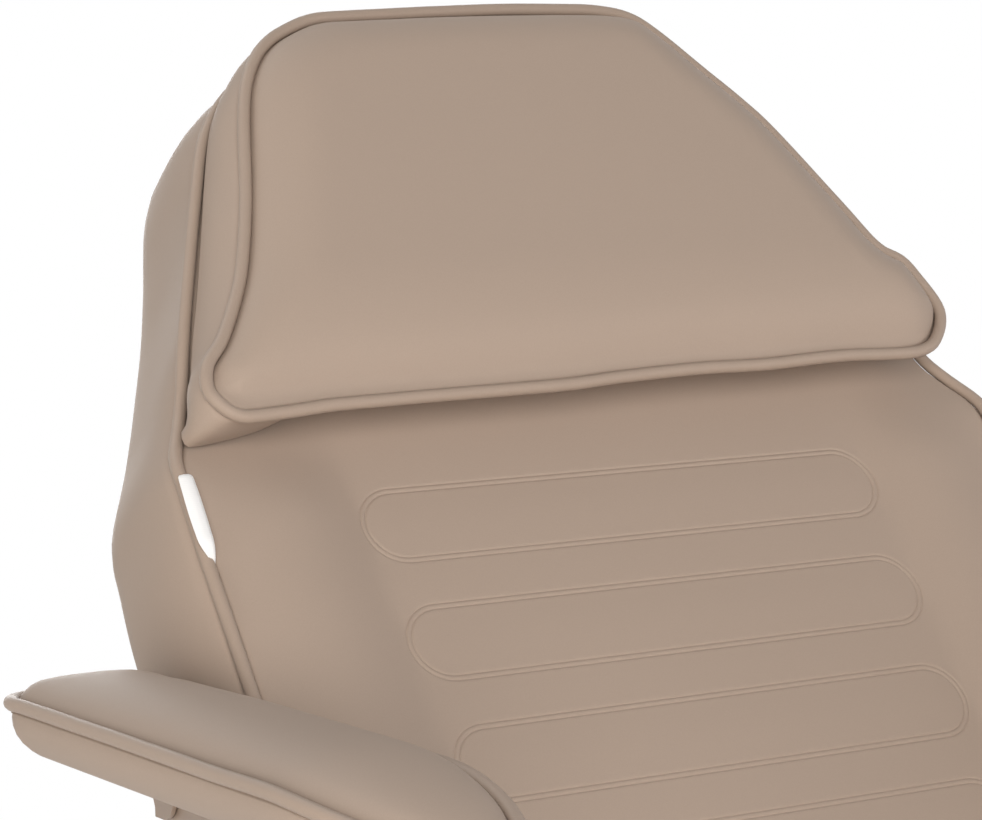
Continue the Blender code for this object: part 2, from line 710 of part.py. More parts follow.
def seat():
    length = SEAT_CROSS_REAR - SEAT_CROSS_FRONT + TUBE
    middle = (SEAT_CROSS_REAR + SEAT_CROSS_FRONT) / 2
    for side, hand in ((-1, "right"), (1, "left")):
        square_tube(f"seat_rail_{hand}", length, (side * SEAT_RAIL_X, middle, RAIL_Z), ALONG_Y)
    to_bracket = 2 * (BRACKET_X - PLATE / 2 - FIT)
    to_stand = 2 * (STAND_X - PLATE / 2 - FIT)
    crosses = (("front", SEAT_CROSS_FRONT, to_bracket), ("middle", link_foot().y, to_stand), ("rear", SEAT_CROSS_REAR, to_bracket))
    for name, y, width in crosses:
        square_tube(f"seat_cross_{name}", width, (0, y, CROSS_Z), ALONG_X)
    depth = SEAT_FRONT + SEAT_REAR
    centre_y = (SEAT_REAR - SEAT_FRONT) / 2
    board = box_outline(2 * (SEAT_HALF_WIDTH - BOARD_INSET), depth - 2 * BOARD_INSET, SEAT_CORNER - BOARD_INSET, 4)
    flat("seat_board", [board], BOARD_THICK, PLYWOOD, (0, centre_y, BOARD_Z + BOARD_THICK / 2))
    corners = [
        (-SEAT_HALF_WIDTH, -SEAT_FRONT), (SEAT_HALF_WIDTH, -SEAT_FRONT),
        (SEAT_HALF_WIDTH, SEAT_REAR), (-SEAT_HALF_WIDTH, SEAT_REAR),
    ]
    outline = drawn(rounded(corners, [SEAT_CORNER] * 4), SEAT_HALF_WIDTH, DRAW_IN)
    thick = SEAT_TOP - SEAT_CROWN - SEAT_Z
    rings = padded_rings(thick, [(SEAT_PLATEAU, SEAT_CROWN), (SEAT_PLATEAU / 2, SEAT_CROWN * 0.8)])
    face = SEAT_TOP - SEAT_CROWN
    pad = cushion("seat_cushion", outline, rings, place=(0, 0, face))
    first = -SEAT_FRONT + SEAT_OVAL_SETBACK
    ovals = [((0, first + i * OVAL_PITCH), OVAL_HALF_WIDTH) for i in range(1, SEAT_OVALS)]
    channels("seat_channels", pad, ovals, SEAT_CROWN, (0, 0, 0), None, (0, 0, face))


def arm_pivot():
    return back_point(ARM_PIVOT_DEPTH, ARM_PIVOT_UP)


def arm_front():
    """Where the arm meets its link."""
    ahead = Vector((0, -math.cos(ARM_TILT), math.sin(ARM_TILT)))
    return arm_pivot() + ahead * ARM_LINK_SPACING


def link_foot():
    """The link stands parallel to the line from the back's hinge to the arm's pivot."""
    return arm_front() - (arm_pivot() - Vector((0, HINGE_Y, HINGE_Z)))


def seat_brackets():
    """Upright plates that carry the hinges, the clamp rods and the arm links."""
    half = TUBE / 2
    low, high = CROSS_Z - half, CROSS_Z + half
    stem = LUG - RUN
    clamp_y = HINGE_Y + BACK_SLOT * math.cos(BACK_CLAMP_ANGLE)
    clamp_z = HINGE_Z + BACK_SLOT * math.sin(BACK_CLAMP_ANGLE)
    rear = [(SEAT_CROSS_REAR - half, low), (clamp_y, clamp_z - LUG)]
    rear += arc((clamp_y, clamp_z), LUG, -math.pi / 2, math.pi / 2, 6)[1:]
    rear += [(HINGE_Y + stem, high), (HINGE_Y + LUG, HINGE_Z)]
    rear += arc((HINGE_Y, HINGE_Z), LUG, 0, math.pi, 8)[1:]
    rear += [(HINGE_Y - stem, high), (SEAT_CROSS_REAR - half, high)]
    rear_holes = [circle((HINGE_Y, HINGE_Z), HINGE_PIN + PIN_FIT), circle((clamp_y, clamp_z), CLAMP_PIN + PIN_FIT)]
    leg_y = LEG_HINGE_Y - LEG_SLOT * math.cos(LEG_CLAMP_ANGLE)
    leg_z = LEG_HINGE_Z + LEG_SLOT * math.sin(LEG_CLAMP_ANGLE)
    front = [(SEAT_CROSS_FRONT + half, high), (LEG_HINGE_Y + stem, high), (LEG_HINGE_Y + LUG, LEG_HINGE_Z)]
    front += arc((LEG_HINGE_Y, LEG_HINGE_Z), LUG, 0, math.pi, 8)[1:]
    front += [(leg_y - LUG, leg_z)]
    front += arc((leg_y, leg_z), LUG, math.pi, 2 * math.pi, 8)[1:]
    front += [(leg_y + LUG, low), (SEAT_CROSS_FRONT + half, low)]
    front_holes = [
        circle((LEG_HINGE_Y, LEG_HINGE_Z), HINGE_PIN + PIN_FIT),
        circle((leg_y, leg_z), CLAMP_PIN + PIN_FIT),
    ]
    foot = link_foot()
    stand = [(foot.y + half, low), (foot.y + LUG, foot.z)]
    stand += arc((foot.y, foot.z), LUG, 0, math.pi, 8)[1:]
    stand += [(foot.y - half, low)]
    stand_holes = [circle((foot.y, foot.z), LINK_PIN + PIN_FIT)]
    for side, hand in ((-1, "right"), (1, "left")):
        x = side * BRACKET_X
        flat(f"back_bracket_{hand}", [rear, *rear_holes], PLATE, STEEL, (x, 0, 0), ALONG_X)
        flat(f"leg_bracket_{hand}", [front, *front_holes], PLATE, STEEL, (x, 0, 0), ALONG_X)
        x = side * STAND_X
        flat(f"arm_stand_{hand}", [stand, *stand_holes], PLATE, STEEL, (x, 0, 0), ALONG_X)
    pin("back_hinge_shaft", HINGE_PIN, -PIN_END_X, PIN_END_X, CHROME, (0, HINGE_Y, HINGE_Z))
    pin("leg_hinge_shaft", HINGE_PIN, -PIN_END_X, PIN_END_X, CHROME, (0, LEG_HINGE_Y, LEG_HINGE_Z))
    pin("back_clamp_rod", CLAMP_PIN, -PIN_END_X, PIN_END_X, CHROME, (0, clamp_y, clamp_z), heads=(True, False))
    pin("leg_clamp_rod", CLAMP_PIN, -PIN_END_X, PIN_END_X, CHROME, (0, leg_y, leg_z), heads=(True, False))
    clamp_lever("back_lever", (PIN_END_X + FIT, clamp_y, clamp_z))
    clamp_lever("leg_lever", (PIN_END_X + FIT, leg_y, leg_z))


def clamp_lever(name, place):
    """A hub on the clamp rod's end with a handle that leans out, down and back."""
    pivot = axis(name + "_axis", place, LEVER_LEAN)
    body = turned(
        name,
        [
            (0, LEVER_HUB_LENGTH), (LEVER_HUB * 0.7, LEVER_HUB_LENGTH),
            (LEVER_HUB, LEVER_HUB_LENGTH * 0.7), (LEVER_HUB, 0), (0, 0),
        ],
        PLASTIC, steps=24, turn=ALONG_X, parent=pivot,
    )
    middle = LEVER_HUB_LENGTH / 2
    start, end = LEVER_LENGTH - LEVER_GRIP_LENGTH, LEVER_LENGTH
    bar = rod(
        name + "_bar", [(middle, 0, 0), (middle, LEVER_HUB, 0), (middle + LEVER_SPLAY, start + LEVER_GRIP, 0)],
        LEVER_RADIUS, None, pivot,
    )
    grip = turned(
        name + "_grip",
        [
            (0, end), (LEVER_GRIP * 0.8, end - LEVER_GRIP * 0.2), (LEVER_GRIP, end - LEVER_GRIP),
            (LEVER_GRIP * 0.8, start), (0, start),
        ],
        steps=16, turn=ALONG_Y, place=(middle + LEVER_SPLAY, 0, 0), parent=pivot,
    )
    boolean(body, as_mesh(bar), "UNION")
    boolean(body, grip, "UNION")


def quadrant_back(pivot, x, hand):
    """Anchor-shaped plate: a stem from the hinge, a slotted arc and a tail on the rail."""
    half = CLAMP_PIN + PIN_FIT
    inner, outer = BACK_SLOT - half - QUADRANT_WALL, BACK_SLOT + half + QUADRANT_WALL
    play = SLOT_PLAY / BACK_SLOT
    right = BACK_CLAMP_ANGLE + play
    left = BACK_CLAMP_ANGLE - (BACK_FLAT - BACK_UPRIGHT) - play
    stem = LUG - RUN
    rail_high = -(BACK_THICK + BOARD_THICK + 2 * FIT - HINGE_DEPTH) - RUN
    rail_low = rail_high - TUBE + 2 * RUN
    end = BACK_RAIL_START + BACK_QUADRANT_REACH
    stem_turn = math.acos(stem / inner)
    tail_turn = math.asin(rail_high / inner)
    tail_low_turn = math.asin(rail_low / outer)
    outline = arc((0, 0), LUG, 0, math.pi, 6)
    outline += arc((0, 0), inner, -math.pi + stem_turn, left - SLOT_MARGIN, 4)
    outline += arc((0, 0), outer, left - SLOT_MARGIN, tail_low_turn, 14)
    outline += [(end, rail_low), (end, rail_high)]
    outline += arc((0, 0), inner, tail_turn, -stem_turn, 6)
    slot = arc((0, 0), BACK_SLOT + half, left, right, 10)
    slot += arc((BACK_SLOT * math.cos(right), BACK_SLOT * math.sin(right)), half, right, right + math.pi, 4)[1:-1]
    slot += arc((0, 0), BACK_SLOT - half, right, left, 10)
    slot += arc((BACK_SLOT * math.cos(left), BACK_SLOT * math.sin(left)), half, left + math.pi, left + 2 * math.pi, 4)[1:-1]
    outlines = [outline, slot, circle((0, 0), HINGE_PIN + PIN_FIT)]
    # The outline is drawn with the back laid flat: along the back is Y and its front is up.
    turned_up = [[(-b, a) for a, b in line] for line in outlines]
    return flat(f"back_quadrant_{hand}", turned_up, PLATE, STEEL, (x, 0, 0), ALONG_X, pivot)


def quadrant_leg(pivot, x, hand):
    """A strip along the leg rail with a slotted arc hanging from it."""
    half = CLAMP_PIN + PIN_FIT
    inner, outer = LEG_SLOT - half - QUADRANT_WALL, LEG_SLOT + half + QUADRANT_WALL
    play = SLOT_PLAY / LEG_SLOT
    low = LEG_CLAMP_ANGLE - play
    high = LEG_CLAMP_ANGLE + LEG_LOWEST + play
    strip = TUBE / 2 - RUN
    outline = arc((0, 0), LUG, math.pi / 2, 3 * math.pi / 2, 6)
    outline += [(LUG, -strip)]
    outline += arc((0, 0), inner, -math.asin(strip / inner), low - SLOT_MARGIN, 8)
    outline += arc((0, 0), outer, low - SLOT_MARGIN, -math.asin(strip / outer), 10)
    outline += [(LEG_QUADRANT_REACH, -strip), (LEG_QUADRANT_REACH, strip), (LUG, strip)]
    slot = arc((0, 0), LEG_SLOT + half, low, high, 9)
    slot += arc((LEG_SLOT * math.cos(high), LEG_SLOT * math.sin(high)), half, high, high + math.pi, 4)[1:-1]
    slot += arc((0, 0), LEG_SLOT - half, high, low, 9)
    slot += arc((LEG_SLOT * math.cos(low), LEG_SLOT * math.sin(low)), half, low + math.pi, low + 2 * math.pi, 4)[1:-1]
    outlines = [outline, slot, circle((0, 0), HINGE_PIN + PIN_FIT)]
    ahead = [[(-a, b) for a, b in line] for line in outlines]
    return flat(f"leg_quadrant_{hand}", ahead, PLATE, STEEL, (x, 0, 0), ALONG_X, pivot)


def back_swell(at):
    """Bolsters along both sides, level in the middle, gone above the shoulders."""
    away = (abs(at.x) - BOLSTER_MIDDLE) / BOLSTER_HALF_WIDTH
    fade = (BOLSTER_TOP - at.y) / BOLSTER_FADE
    return BOLSTER * max(0.0, 1 - away * away) * min(1.0, max(0.0, fade))


def back():
    pivot = axis("recline_axis", (0, HINGE_Y, HINGE_Z), -RECLINE)
    corners = [
        (-BACK_HALF_FOOT, BACK_START), (BACK_HALF_FOOT, BACK_START), (BACK_HALF_WAIST, BACK_SHOULDER),
        (BACK_HALF_HEAD, BACK_TOP), (-BACK_HALF_HEAD, BACK_TOP), (-BACK_HALF_WAIST, BACK_SHOULDER),
    ]
    radii = [
        BACK_FOOT_CORNER, BACK_FOOT_CORNER, BACK_SHOULDER_CORNER,
        BACK_HEAD_CORNER, BACK_HEAD_CORNER, BACK_SHOULDER_CORNER,
    ]
    outline = drawn(rounded(corners, radii), BACK_HALF_WAIST, DRAW_IN / 4)
    inner, peak = BACK_HALF_WAIST - BOLSTER_MIDDLE + BOLSTER_HALF_WIDTH, BACK_HALF_WAIST - BOLSTER_MIDDLE
    rings = padded_rings(BACK_THICK, [(inner, 0), (peak, 0)], -BACK_BULGE)
    pad = cushion(
        "back_cushion", outline, rings, pivot, (0, -HINGE_DEPTH, 0), FACING_FRONT, back_swell, BACK_END_SHARES,
    )
    ovals = []
    for i in range(BACK_OVALS):
        down = i * OVAL_PITCH
        ovals.append(((0, FIRST_OVAL - down), OVAL_HALF_WIDTH - OVAL_TAPER * down))
    channels("back_channels", pad, ovals, 0, FACING_FRONT, pivot, (0, -HINGE_DEPTH, 0))
    shaft_y = ARM_PIVOT_DEPTH - HINGE_DEPTH
    bore = cylinder(
        "arm_shaft_bore", ARM_PIN + FIT, 2 * ARM_INNER,
        place=(0, shaft_y, ARM_PIVOT_UP), turn=ALONG_X, parent=pivot,
    )
    boolean(pad, bore, "DIFFERENCE")
    shaft_end = ARM_BRACKET_X + PLATE / 2 + RUN
    pin("arm_shaft", ARM_PIN, -shaft_end, shaft_end, CHROME, (0, shaft_y, ARM_PIVOT_UP), pivot)
    board_y = BACK_THICK + FIT - HINGE_DEPTH + BOARD_THICK / 2
    inset = [corner_in(c, BOARD_INSET, (0, (BACK_START + BACK_TOP) / 2)) for c in corners]
    board = rounded(inset, [r - BOARD_INSET for r in radii], 4)
    flat("back_board", [board], BOARD_THICK, LEATHERETTE, (0, board_y, 0), FACING_FRONT, pivot)
    rail_y = board_y + BOARD_THICK / 2 + FIT + TUBE / 2
    middle = BACK_RAIL_START + BACK_RAIL_LENGTH / 2
    for side, hand in ((-1, "right"), (1, "left")):
        square_tube(f"back_rail_{hand}", BACK_RAIL_LENGTH, (side * BACK_RAIL_X, rail_y, middle), (0, 0, 0), pivot)
        quadrant_back(pivot, side * QUADRANT_X, hand)
    width = 2 * (BACK_RAIL_X - TUBE / 2 - FIT)
    for share, name in zip(BACK_CROSS_SHARES, ("lower", "upper")):
        up = BACK_RAIL_START + BACK_RAIL_LENGTH * share
        square_tube(f"back_cross_{name}", width, (0, rail_y, up), ALONG_X, pivot)
    return pivot


def corner_in(corner, inset, middle):
    """Moves a corner in along both axes."""
    x = corner[0] - math.copysign(inset, corner[0] - middle[0])
    y = corner[1] - math.copysign(inset, corner[1] - middle[1])
    return x, y


def pillow(pivot):
    level = (PILLOW_START + PILLOW_TOP) / 2
    tapes = 2 * TAPE_THICK + 3 * FIT
    seat_y = -HINGE_DEPTH
    seat_place = axis("pillow_seat", (PILLOW_SHIFT, seat_y, level), 0, pivot)
    seat_place.rotation_euler = (0, -PILLOW_TURN, 0)
    half = (PILLOW_TOP - PILLOW_START) / 2
    corners = [(-PILLOW_HALF_FOOT, -half), (PILLOW_HALF_FOOT, -half), (PILLOW_HALF_HEAD, half), (-PILLOW_HALF_HEAD, half)]
    radii = [PILLOW_FOOT_CORNER, PILLOW_FOOT_CORNER, PILLOW_HEAD_CORNER, PILLOW_HEAD_CORNER]
    outline = drawn(rounded(corners, radii), PILLOW_HALF_HEAD, DRAW_IN)
    thick = PILLOW_EDGE - tapes
    face = [(PILLOW_PLATEAU, PILLOW_CROWN), (PILLOW_PLATEAU / 2, PILLOW_CROWN * 0.75)]
    rings = padded_rings(thick, face, -PILLOW_FLARE / 2, PILLOW_FLARE)
    cushion("pillow", outline, rings, seat_place, (0, -PILLOW_EDGE, 0), FACING_FRONT, lean=PILLOW_LEAN)
    for name, height in (("hook_tape", tapes - FIT - TAPE_THICK / 2), ("loop_tape", FIT + TAPE_THICK / 2)):
        strip = box_outline(TAPE_LENGTH, TAPE_WIDTH, TAPE_WIDTH / 8)
        flat(name, [strip], TAPE_THICK, TAPE, (0, -height, 0), FACING_FRONT, seat_place)


def arm(side, hand):
    pivot = axis(f"arm_axis_{hand}", arm_pivot(), -ARM_TILT)
    x = side * (ARM_INNER + ARM_WIDTH / 2)
    half = ARM_WIDTH / 2
    ahead = ARM_BEHIND - ARM_LENGTH
    taper = ahead + ARM_TAPER
    corners = [
        (-ARM_TIP_HALF, ahead), (ARM_TIP_HALF, ahead), (half, taper),
        (half, ARM_BEHIND), (-half, ARM_BEHIND), (-half, taper),
    ]
    radii = [ARM_TIP_CORNER, ARM_TIP_CORNER, ARM_TAPER_CORNER, ARM_CORNER, ARM_CORNER, ARM_TAPER_CORNER]
    outline = drawn(rounded(corners, radii), ARM_LENGTH / 2, DRAW_IN / 2)
    rings = [
        (half * 0.80, ARM_CROWN),
        (half * 0.40, ARM_CROWN * 0.72),
        (PIPING, PIPING),
        (-PIPING * 0.2, 0),
        (PIPING, -PIPING),
        (half * 0.12, PIPING - ARM_THICK),
        (half * 0.30, -ARM_THICK),
    ]
    cushion(f"arm_pad_{hand}", outline, rings, pivot, (x, 0, ARM_SEAT + ARM_THICK), end_shares=ARM_END_SHARES)
    plate_top = ARM_SEAT - FIT
    margin = ARM_BRACKET_MARGIN
    length = ARM_LINK_SPACING + 2 * margin
    left, right = -PLATE / 2, PLATE / 2
    out = right + ARM_FLANGE - PLATE
    section = [(left, -LUG), (right, -LUG), (right, plate_top - PLATE), (out, plate_top - PLATE), (out, plate_top), (left, plate_top)]
    section = [(side * a, -b) for a, b in section]
    bracket = as_mesh(flat(
        f"arm_bracket_{hand}", [section], length, STEEL,
        (side * ARM_BRACKET_X, -ARM_LINK_SPACING / 2, 0), ALONG_Y, pivot,
    ))
    for label, y, radius in (("rear", 0, ARM_PIN), ("front", -ARM_LINK_SPACING, LINK_PIN)):
        hole = cylinder(
            f"arm_hole_{label}_{hand}", radius + PIN_FIT, 3 * PLATE,
            place=(side * ARM_BRACKET_X, y, 0), turn=ALONG_X, parent=pivot,
        )
        boolean(bracket, hole, "DIFFERENCE")
    start, end = LINK_X - PLATE / 2 - FIT, ARM_BRACKET_X + PLATE / 2 + FIT
    ends = (start, end) if side > 0 else (-end, -start)
    pin(f"arm_pin_{hand}", LINK_PIN, *ends, CHROME, (0, -ARM_LINK_SPACING, 0), pivot)


def link(side, hand):
    """The front arm link, parallel to the back at every angle."""
    foot = link_foot()
    along = arm_front() - foot
    pivot = axis(f"link_axis_{hand}", foot, -math.atan2(along.y, along.z))
    length = along.length
    width = LINK_HALF_WIDTH
    outline = arc((0, 0), width, math.pi, 2 * math.pi, 6) + arc((0, length), width, 0, math.pi, 6)
    holes = [circle((0, 0), LINK_PIN + PIN_FIT), circle((0, length), LINK_PIN + PIN_FIT)]
    flat(f"arm_link_{hand}", [outline, *holes], PLATE, STEEL, (side * LINK_X, 0, 0), ALONG_X, pivot)
    start, end = STAND_X - PLATE / 2 - FIT, LINK_X + PLATE / 2 + FIT
    ends = (start, end) if side > 0 else (-end, -start)
    pin(f"link_pin_{hand}", LINK_PIN, *ends, CHROME, foot)


def leg():
    pivot = axis("leg_axis", (0, LEG_HINGE_Y, LEG_HINGE_Z), LEG_DROOP)
    start = -SEAT_FRONT - LEG_GAP - LEG_HINGE_Y
    end = start - LEG_LENGTH
    board_z = TUBE / 2 + FIT
    pad_z = board_z + BOARD_THICK + FIT
    corners = [(-LEG_HALF_FOOT, end), (LEG_HALF_FOOT, end), (LEG_HALF_TOP, start), (-LEG_HALF_TOP, start)]
    radii = [LEG_FOOT_CORNER, LEG_FOOT_CORNER, LEG_CORNER, LEG_CORNER]
    outline = drawn(rounded(corners, radii), LEG_HALF_FOOT, DRAW_IN)
    thick = LEG_THICK - LEG_CROWN
    rings = padded_rings(thick, [(LEG_PLATEAU, LEG_CROWN), (LEG_PLATEAU / 2, LEG_CROWN * 0.8)])
    pad = cushion("leg_cushion", outline, rings, pivot, (0, 0, pad_z + thick))
    half_width = OVAL_HALF_WIDTH - OVAL_HALF_HEIGHT
    ovals = [((0, start - LEG_OVAL_SETBACK - i * OVAL_PITCH), half_width) for i in range(LEG_OVALS)]
    channels("leg_channels", pad, ovals, LEG_CROWN, (0, 0, 0), pivot, (0, 0, pad_z + thick))
    middle = (0, (start + end) / 2)
    inset = [corner_in(c, BOARD_INSET, middle) for c in corners]
    inset = [(x, min(y, 2 * RUN - LUG)) for x, y in inset]
    board = rounded(inset, [r - BOARD_INSET for r in radii], 4)
    flat("leg_board", [board], BOARD_THICK, PLYWOOD, (0, 0, board_z + BOARD_THICK / 2), (0, 0, 0), pivot)
    rail_middle = -LEG_RAIL_START - LEG_RAIL_LENGTH / 2
    for side, hand in ((-1, "right"), (1, "left")):
        square_tube(f"leg_rail_{hand}", LEG_RAIL_LENGTH, (side * BACK_RAIL_X, rail_middle, 0), ALONG_Y, pivot)
        quadrant_leg(pivot, side * QUADRANT_X, hand)


def build():
    clear_scene()
    base()
    pedal()
    lift()
    hub()
    swivel_lever()
    seat()
    seat_brackets()
    pivot = back()
    pillow(pivot)
    for side, hand in ((-1, "right"), (1, "left")):
        arm(side, hand)
        link(side, hand)
    leg()


build()
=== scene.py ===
# Beauty chair: upholstery, steelwork and studio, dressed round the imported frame.
# Metres, +Z up, the sitter looks along -Y and +X is the sitter's left hand.
import json
import math

import bmesh
import bpy
import numpy as np
from mathutils import Matrix, Vector, noise
from mathutils.geometry import delaunay_2d_cdt


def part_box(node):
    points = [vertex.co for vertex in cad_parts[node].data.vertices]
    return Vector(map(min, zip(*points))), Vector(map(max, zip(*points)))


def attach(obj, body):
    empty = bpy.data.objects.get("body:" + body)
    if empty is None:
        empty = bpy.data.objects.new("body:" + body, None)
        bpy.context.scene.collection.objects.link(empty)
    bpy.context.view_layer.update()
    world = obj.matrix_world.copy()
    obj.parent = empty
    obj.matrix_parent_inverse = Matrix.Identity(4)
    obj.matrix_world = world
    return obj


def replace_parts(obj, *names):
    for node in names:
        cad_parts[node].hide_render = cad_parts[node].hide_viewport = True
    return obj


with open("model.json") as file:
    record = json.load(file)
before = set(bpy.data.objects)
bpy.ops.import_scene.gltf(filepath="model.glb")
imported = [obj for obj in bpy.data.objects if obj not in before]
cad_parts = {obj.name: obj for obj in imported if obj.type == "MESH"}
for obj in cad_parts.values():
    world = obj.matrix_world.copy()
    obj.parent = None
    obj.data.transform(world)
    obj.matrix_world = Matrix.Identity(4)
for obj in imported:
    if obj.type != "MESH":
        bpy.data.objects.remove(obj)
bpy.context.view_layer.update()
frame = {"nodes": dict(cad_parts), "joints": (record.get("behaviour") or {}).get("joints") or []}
joints = {joint["name"]: Vector(joint["pos_m"]) for joint in frame["joints"] if "pos_m" in joint}
print("frame loaded:", len(frame["nodes"]), "nodes")

# Small tools for shapes


def arc(middle, radius, start, end, steps):
    turns = [start + (end - start) * i / steps for i in range(steps + 1)]
    return [Vector((middle[0] + radius * math.cos(t), middle[1] + radius * math.sin(t))) for t in turns]


def rounded(corners, radii, steps=14):
    # closed outline, anticlockwise, each corner turned into an arc
    points = []
    for i, (corner, radius) in enumerate(zip(corners, radii)):
        here = Vector(corner)
        before = (Vector(corners[i - 1]) - here).normalized()
        after = (Vector(corners[(i + 1) % len(corners)]) - here).normalized()
        half = before.angle(after) / 2
        middle = here + (before + after).normalized() * radius / math.sin(half)
        first = here + before * radius / math.tan(half) - middle
        last = here + after * radius / math.tan(half) - middle
        start = math.atan2(first.y, first.x)
        sweep = math.atan2(first.cross(last), first.dot(last))
        points += arc(middle, radius, start, start + sweep, steps)
    return points


def evenly(loop, spacing):
    # the same closed line with points at an even spacing
    corners = np.array([tuple(p) for p in loop])
    closed = np.vstack([corners, corners[:1]])
    lengths = np.hypot(*np.diff(closed, axis=0)[:, :2].T)
    along = np.concatenate([[0], np.cumsum(lengths)])
    count = max(12, round(along[-1] / spacing))
    places = np.arange(count) * along[-1] / count
    return np.column_stack([np.interp(places, along, closed[:, i]) for i in range(closed.shape[1])])


def smoothLoop(points, steps):
    # closed curve through a few measured points
    made = []
    count = len(points)
    for i in range(count):
        a, b, c, d = (Vector(points[(i + k) % count]) for k in (-1, 0, 1, 2))
        bend, twist = 2 * a - 5 * b + 4 * c - d, 3 * b - a - 3 * c + d
        for k in range(steps):
            t = k / steps
            made.append(0.5 * (2 * b + (c - a) * t + bend * t * t + twist * t ** 3))
    return made


def outwards(loop):
    # unit normals of a closed anticlockwise line, pointing out
    along = np.roll(loop, -1, 0) - np.roll(loop, 1, 0)
    along /= np.hypot(*along.T)[:, None]
    return np.column_stack([along[:, 1], -along[:, 0]])


def nearest(points, loop):
    # distance of each point to a closed line, and how far along the line that is
    ends = np.roll(loop, -1, 0)
    run = ends - loop
    square = (run ** 2).sum(1)
    starts = np.concatenate([[0], np.cumsum(np.sqrt(square))[:-1]])
    distance, along = np.empty(len(points)), np.empty(len(points))
    for low in range(0, len(points), 2000):
        some = points[low:low + 2000, None, :] - loop[None]
        share = np.clip((some * run).sum(2) / square, 0, 1)
        gap = np.hypot(*(some - share[..., None] * run).transpose(2, 0, 1))
        best = gap.argmin(1)
        rows = np.arange(len(best))
        distance[low:low + 2000] = gap[rows, best]
        along[low:low + 2000] = starts[best] + share[rows, best] * np.sqrt(square[best])
    return distance, along


def wander(places, size, seed):
    # smooth noise along one direction or over an area, about -1 to 1
    return np.array([noise.noise((p[0] / size + seed, p[1] / size, seed * 0.37)) for p in places])


def smoothRise(t):
    t = np.clip(t, 0, 1)
    return t * t * (3 - 2 * t)


def linear(colour):
    channels = [int(colour[i:i + 2], 16) / 255 for i in (1, 3, 5)]
    return (*(c / 12.92 if c <= 0.04045 else ((c + 0.055) / 1.055) ** 2.4 for c in channels), 1)


def add(tree, kind, values=None, links=None, **settings):
    # one shader node with its settings, its socket values and what feeds it
    made = tree.nodes.new("ShaderNode" + kind)
    for name, value in settings.items():
        setattr(made, name, value)
    for socket, value in (values or {}).items():
        made.inputs[socket].default_value = value
    for socket, source in (links or {}).items():
        tree.links.new(source, made.inputs[socket])
    return made


def newMaterial(name, values):
    # a new material with its node tree, its shader and the place of each point on the piece
    made = bpy.data.materials.new(name)
    made.use_nodes = True
    tree = made.node_tree
    shader = tree.nodes["Principled BSDF"]
    for socket, value in values.items():
        shader.inputs[socket].default_value = value
    return made, tree, shader, add(tree, "TexCoord").outputs["Object"]


def texture(tree, kind, place, values, **settings):
    return add(tree, "Tex" + kind, values, {"Vector": place}, **settings).outputs


def ranged(tree, source, low, high, first, last, **settings):
    # values from low to high become first to last
    limits = {"From Min": low, "From Max": high, "To Min": first, "To Max": last}
    return add(tree, "MapRange", limits, {"Value": source}, **settings).outputs["Result"]


def tinted(tree, shader, colour, level):
    # the base colour, made lighter or darker by a level
    shade = add(tree, "VectorMath", {0: linear(colour)[:3]}, {"Scale": level}, operation="SCALE")
    tree.links.new(shade.outputs[0], shader.inputs["Base Color"])


def bumped(tree, shader, height, strength, distance):
    bump = add(tree, "Bump", {"Strength": strength, "Distance": distance}, {"Height": height})
    tree.links.new(bump.outputs["Normal"], shader.inputs["Normal"])


def skin(shape, rings, looped=False):
    # faces over rings of points, capped at both ends or led back to the first ring
    drawn = [[shape.verts.new(point) for point in ring] for ring in rings]
    following = drawn[1:] + drawn[:1] if looped else drawn[1:]
    for a, b in zip(drawn, following):
        for k in range(len(a)):
            m = (k + 1) % len(a)
            shape.faces.new((a[k], a[m], b[m], b[k]))
    if not looped:
        shape.faces.new(drawn[0][::-1])
        shape.faces.new(drawn[-1])


def circle(radius, height, sides):
    turns = [2 * math.pi * k / sides for k in range(sides)]
    return [(radius * math.cos(t), radius * math.sin(t), height) for t in turns]


def newPiece(name, shape, material, body, place=Matrix.Identity(4), crease=50):
    # a drawn shape as a smooth piece, sharp where its faces meet at more than the crease angle
    bmesh.ops.recalc_face_normals(shape, faces=shape.faces)
    mesh = bpy.data.meshes.new(name)
    shape.to_mesh(mesh)
    shape.free()
    mesh.shade_smooth()
    if crease:
        mesh.set_sharp_from_angle(angle=math.radians(crease))
    mesh.transform(place)
    mesh.materials.append(material)
    piece = bpy.data.objects.new(name, mesh)
    bpy.context.scene.collection.objects.link(piece)
    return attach(piece, body)


# Materials


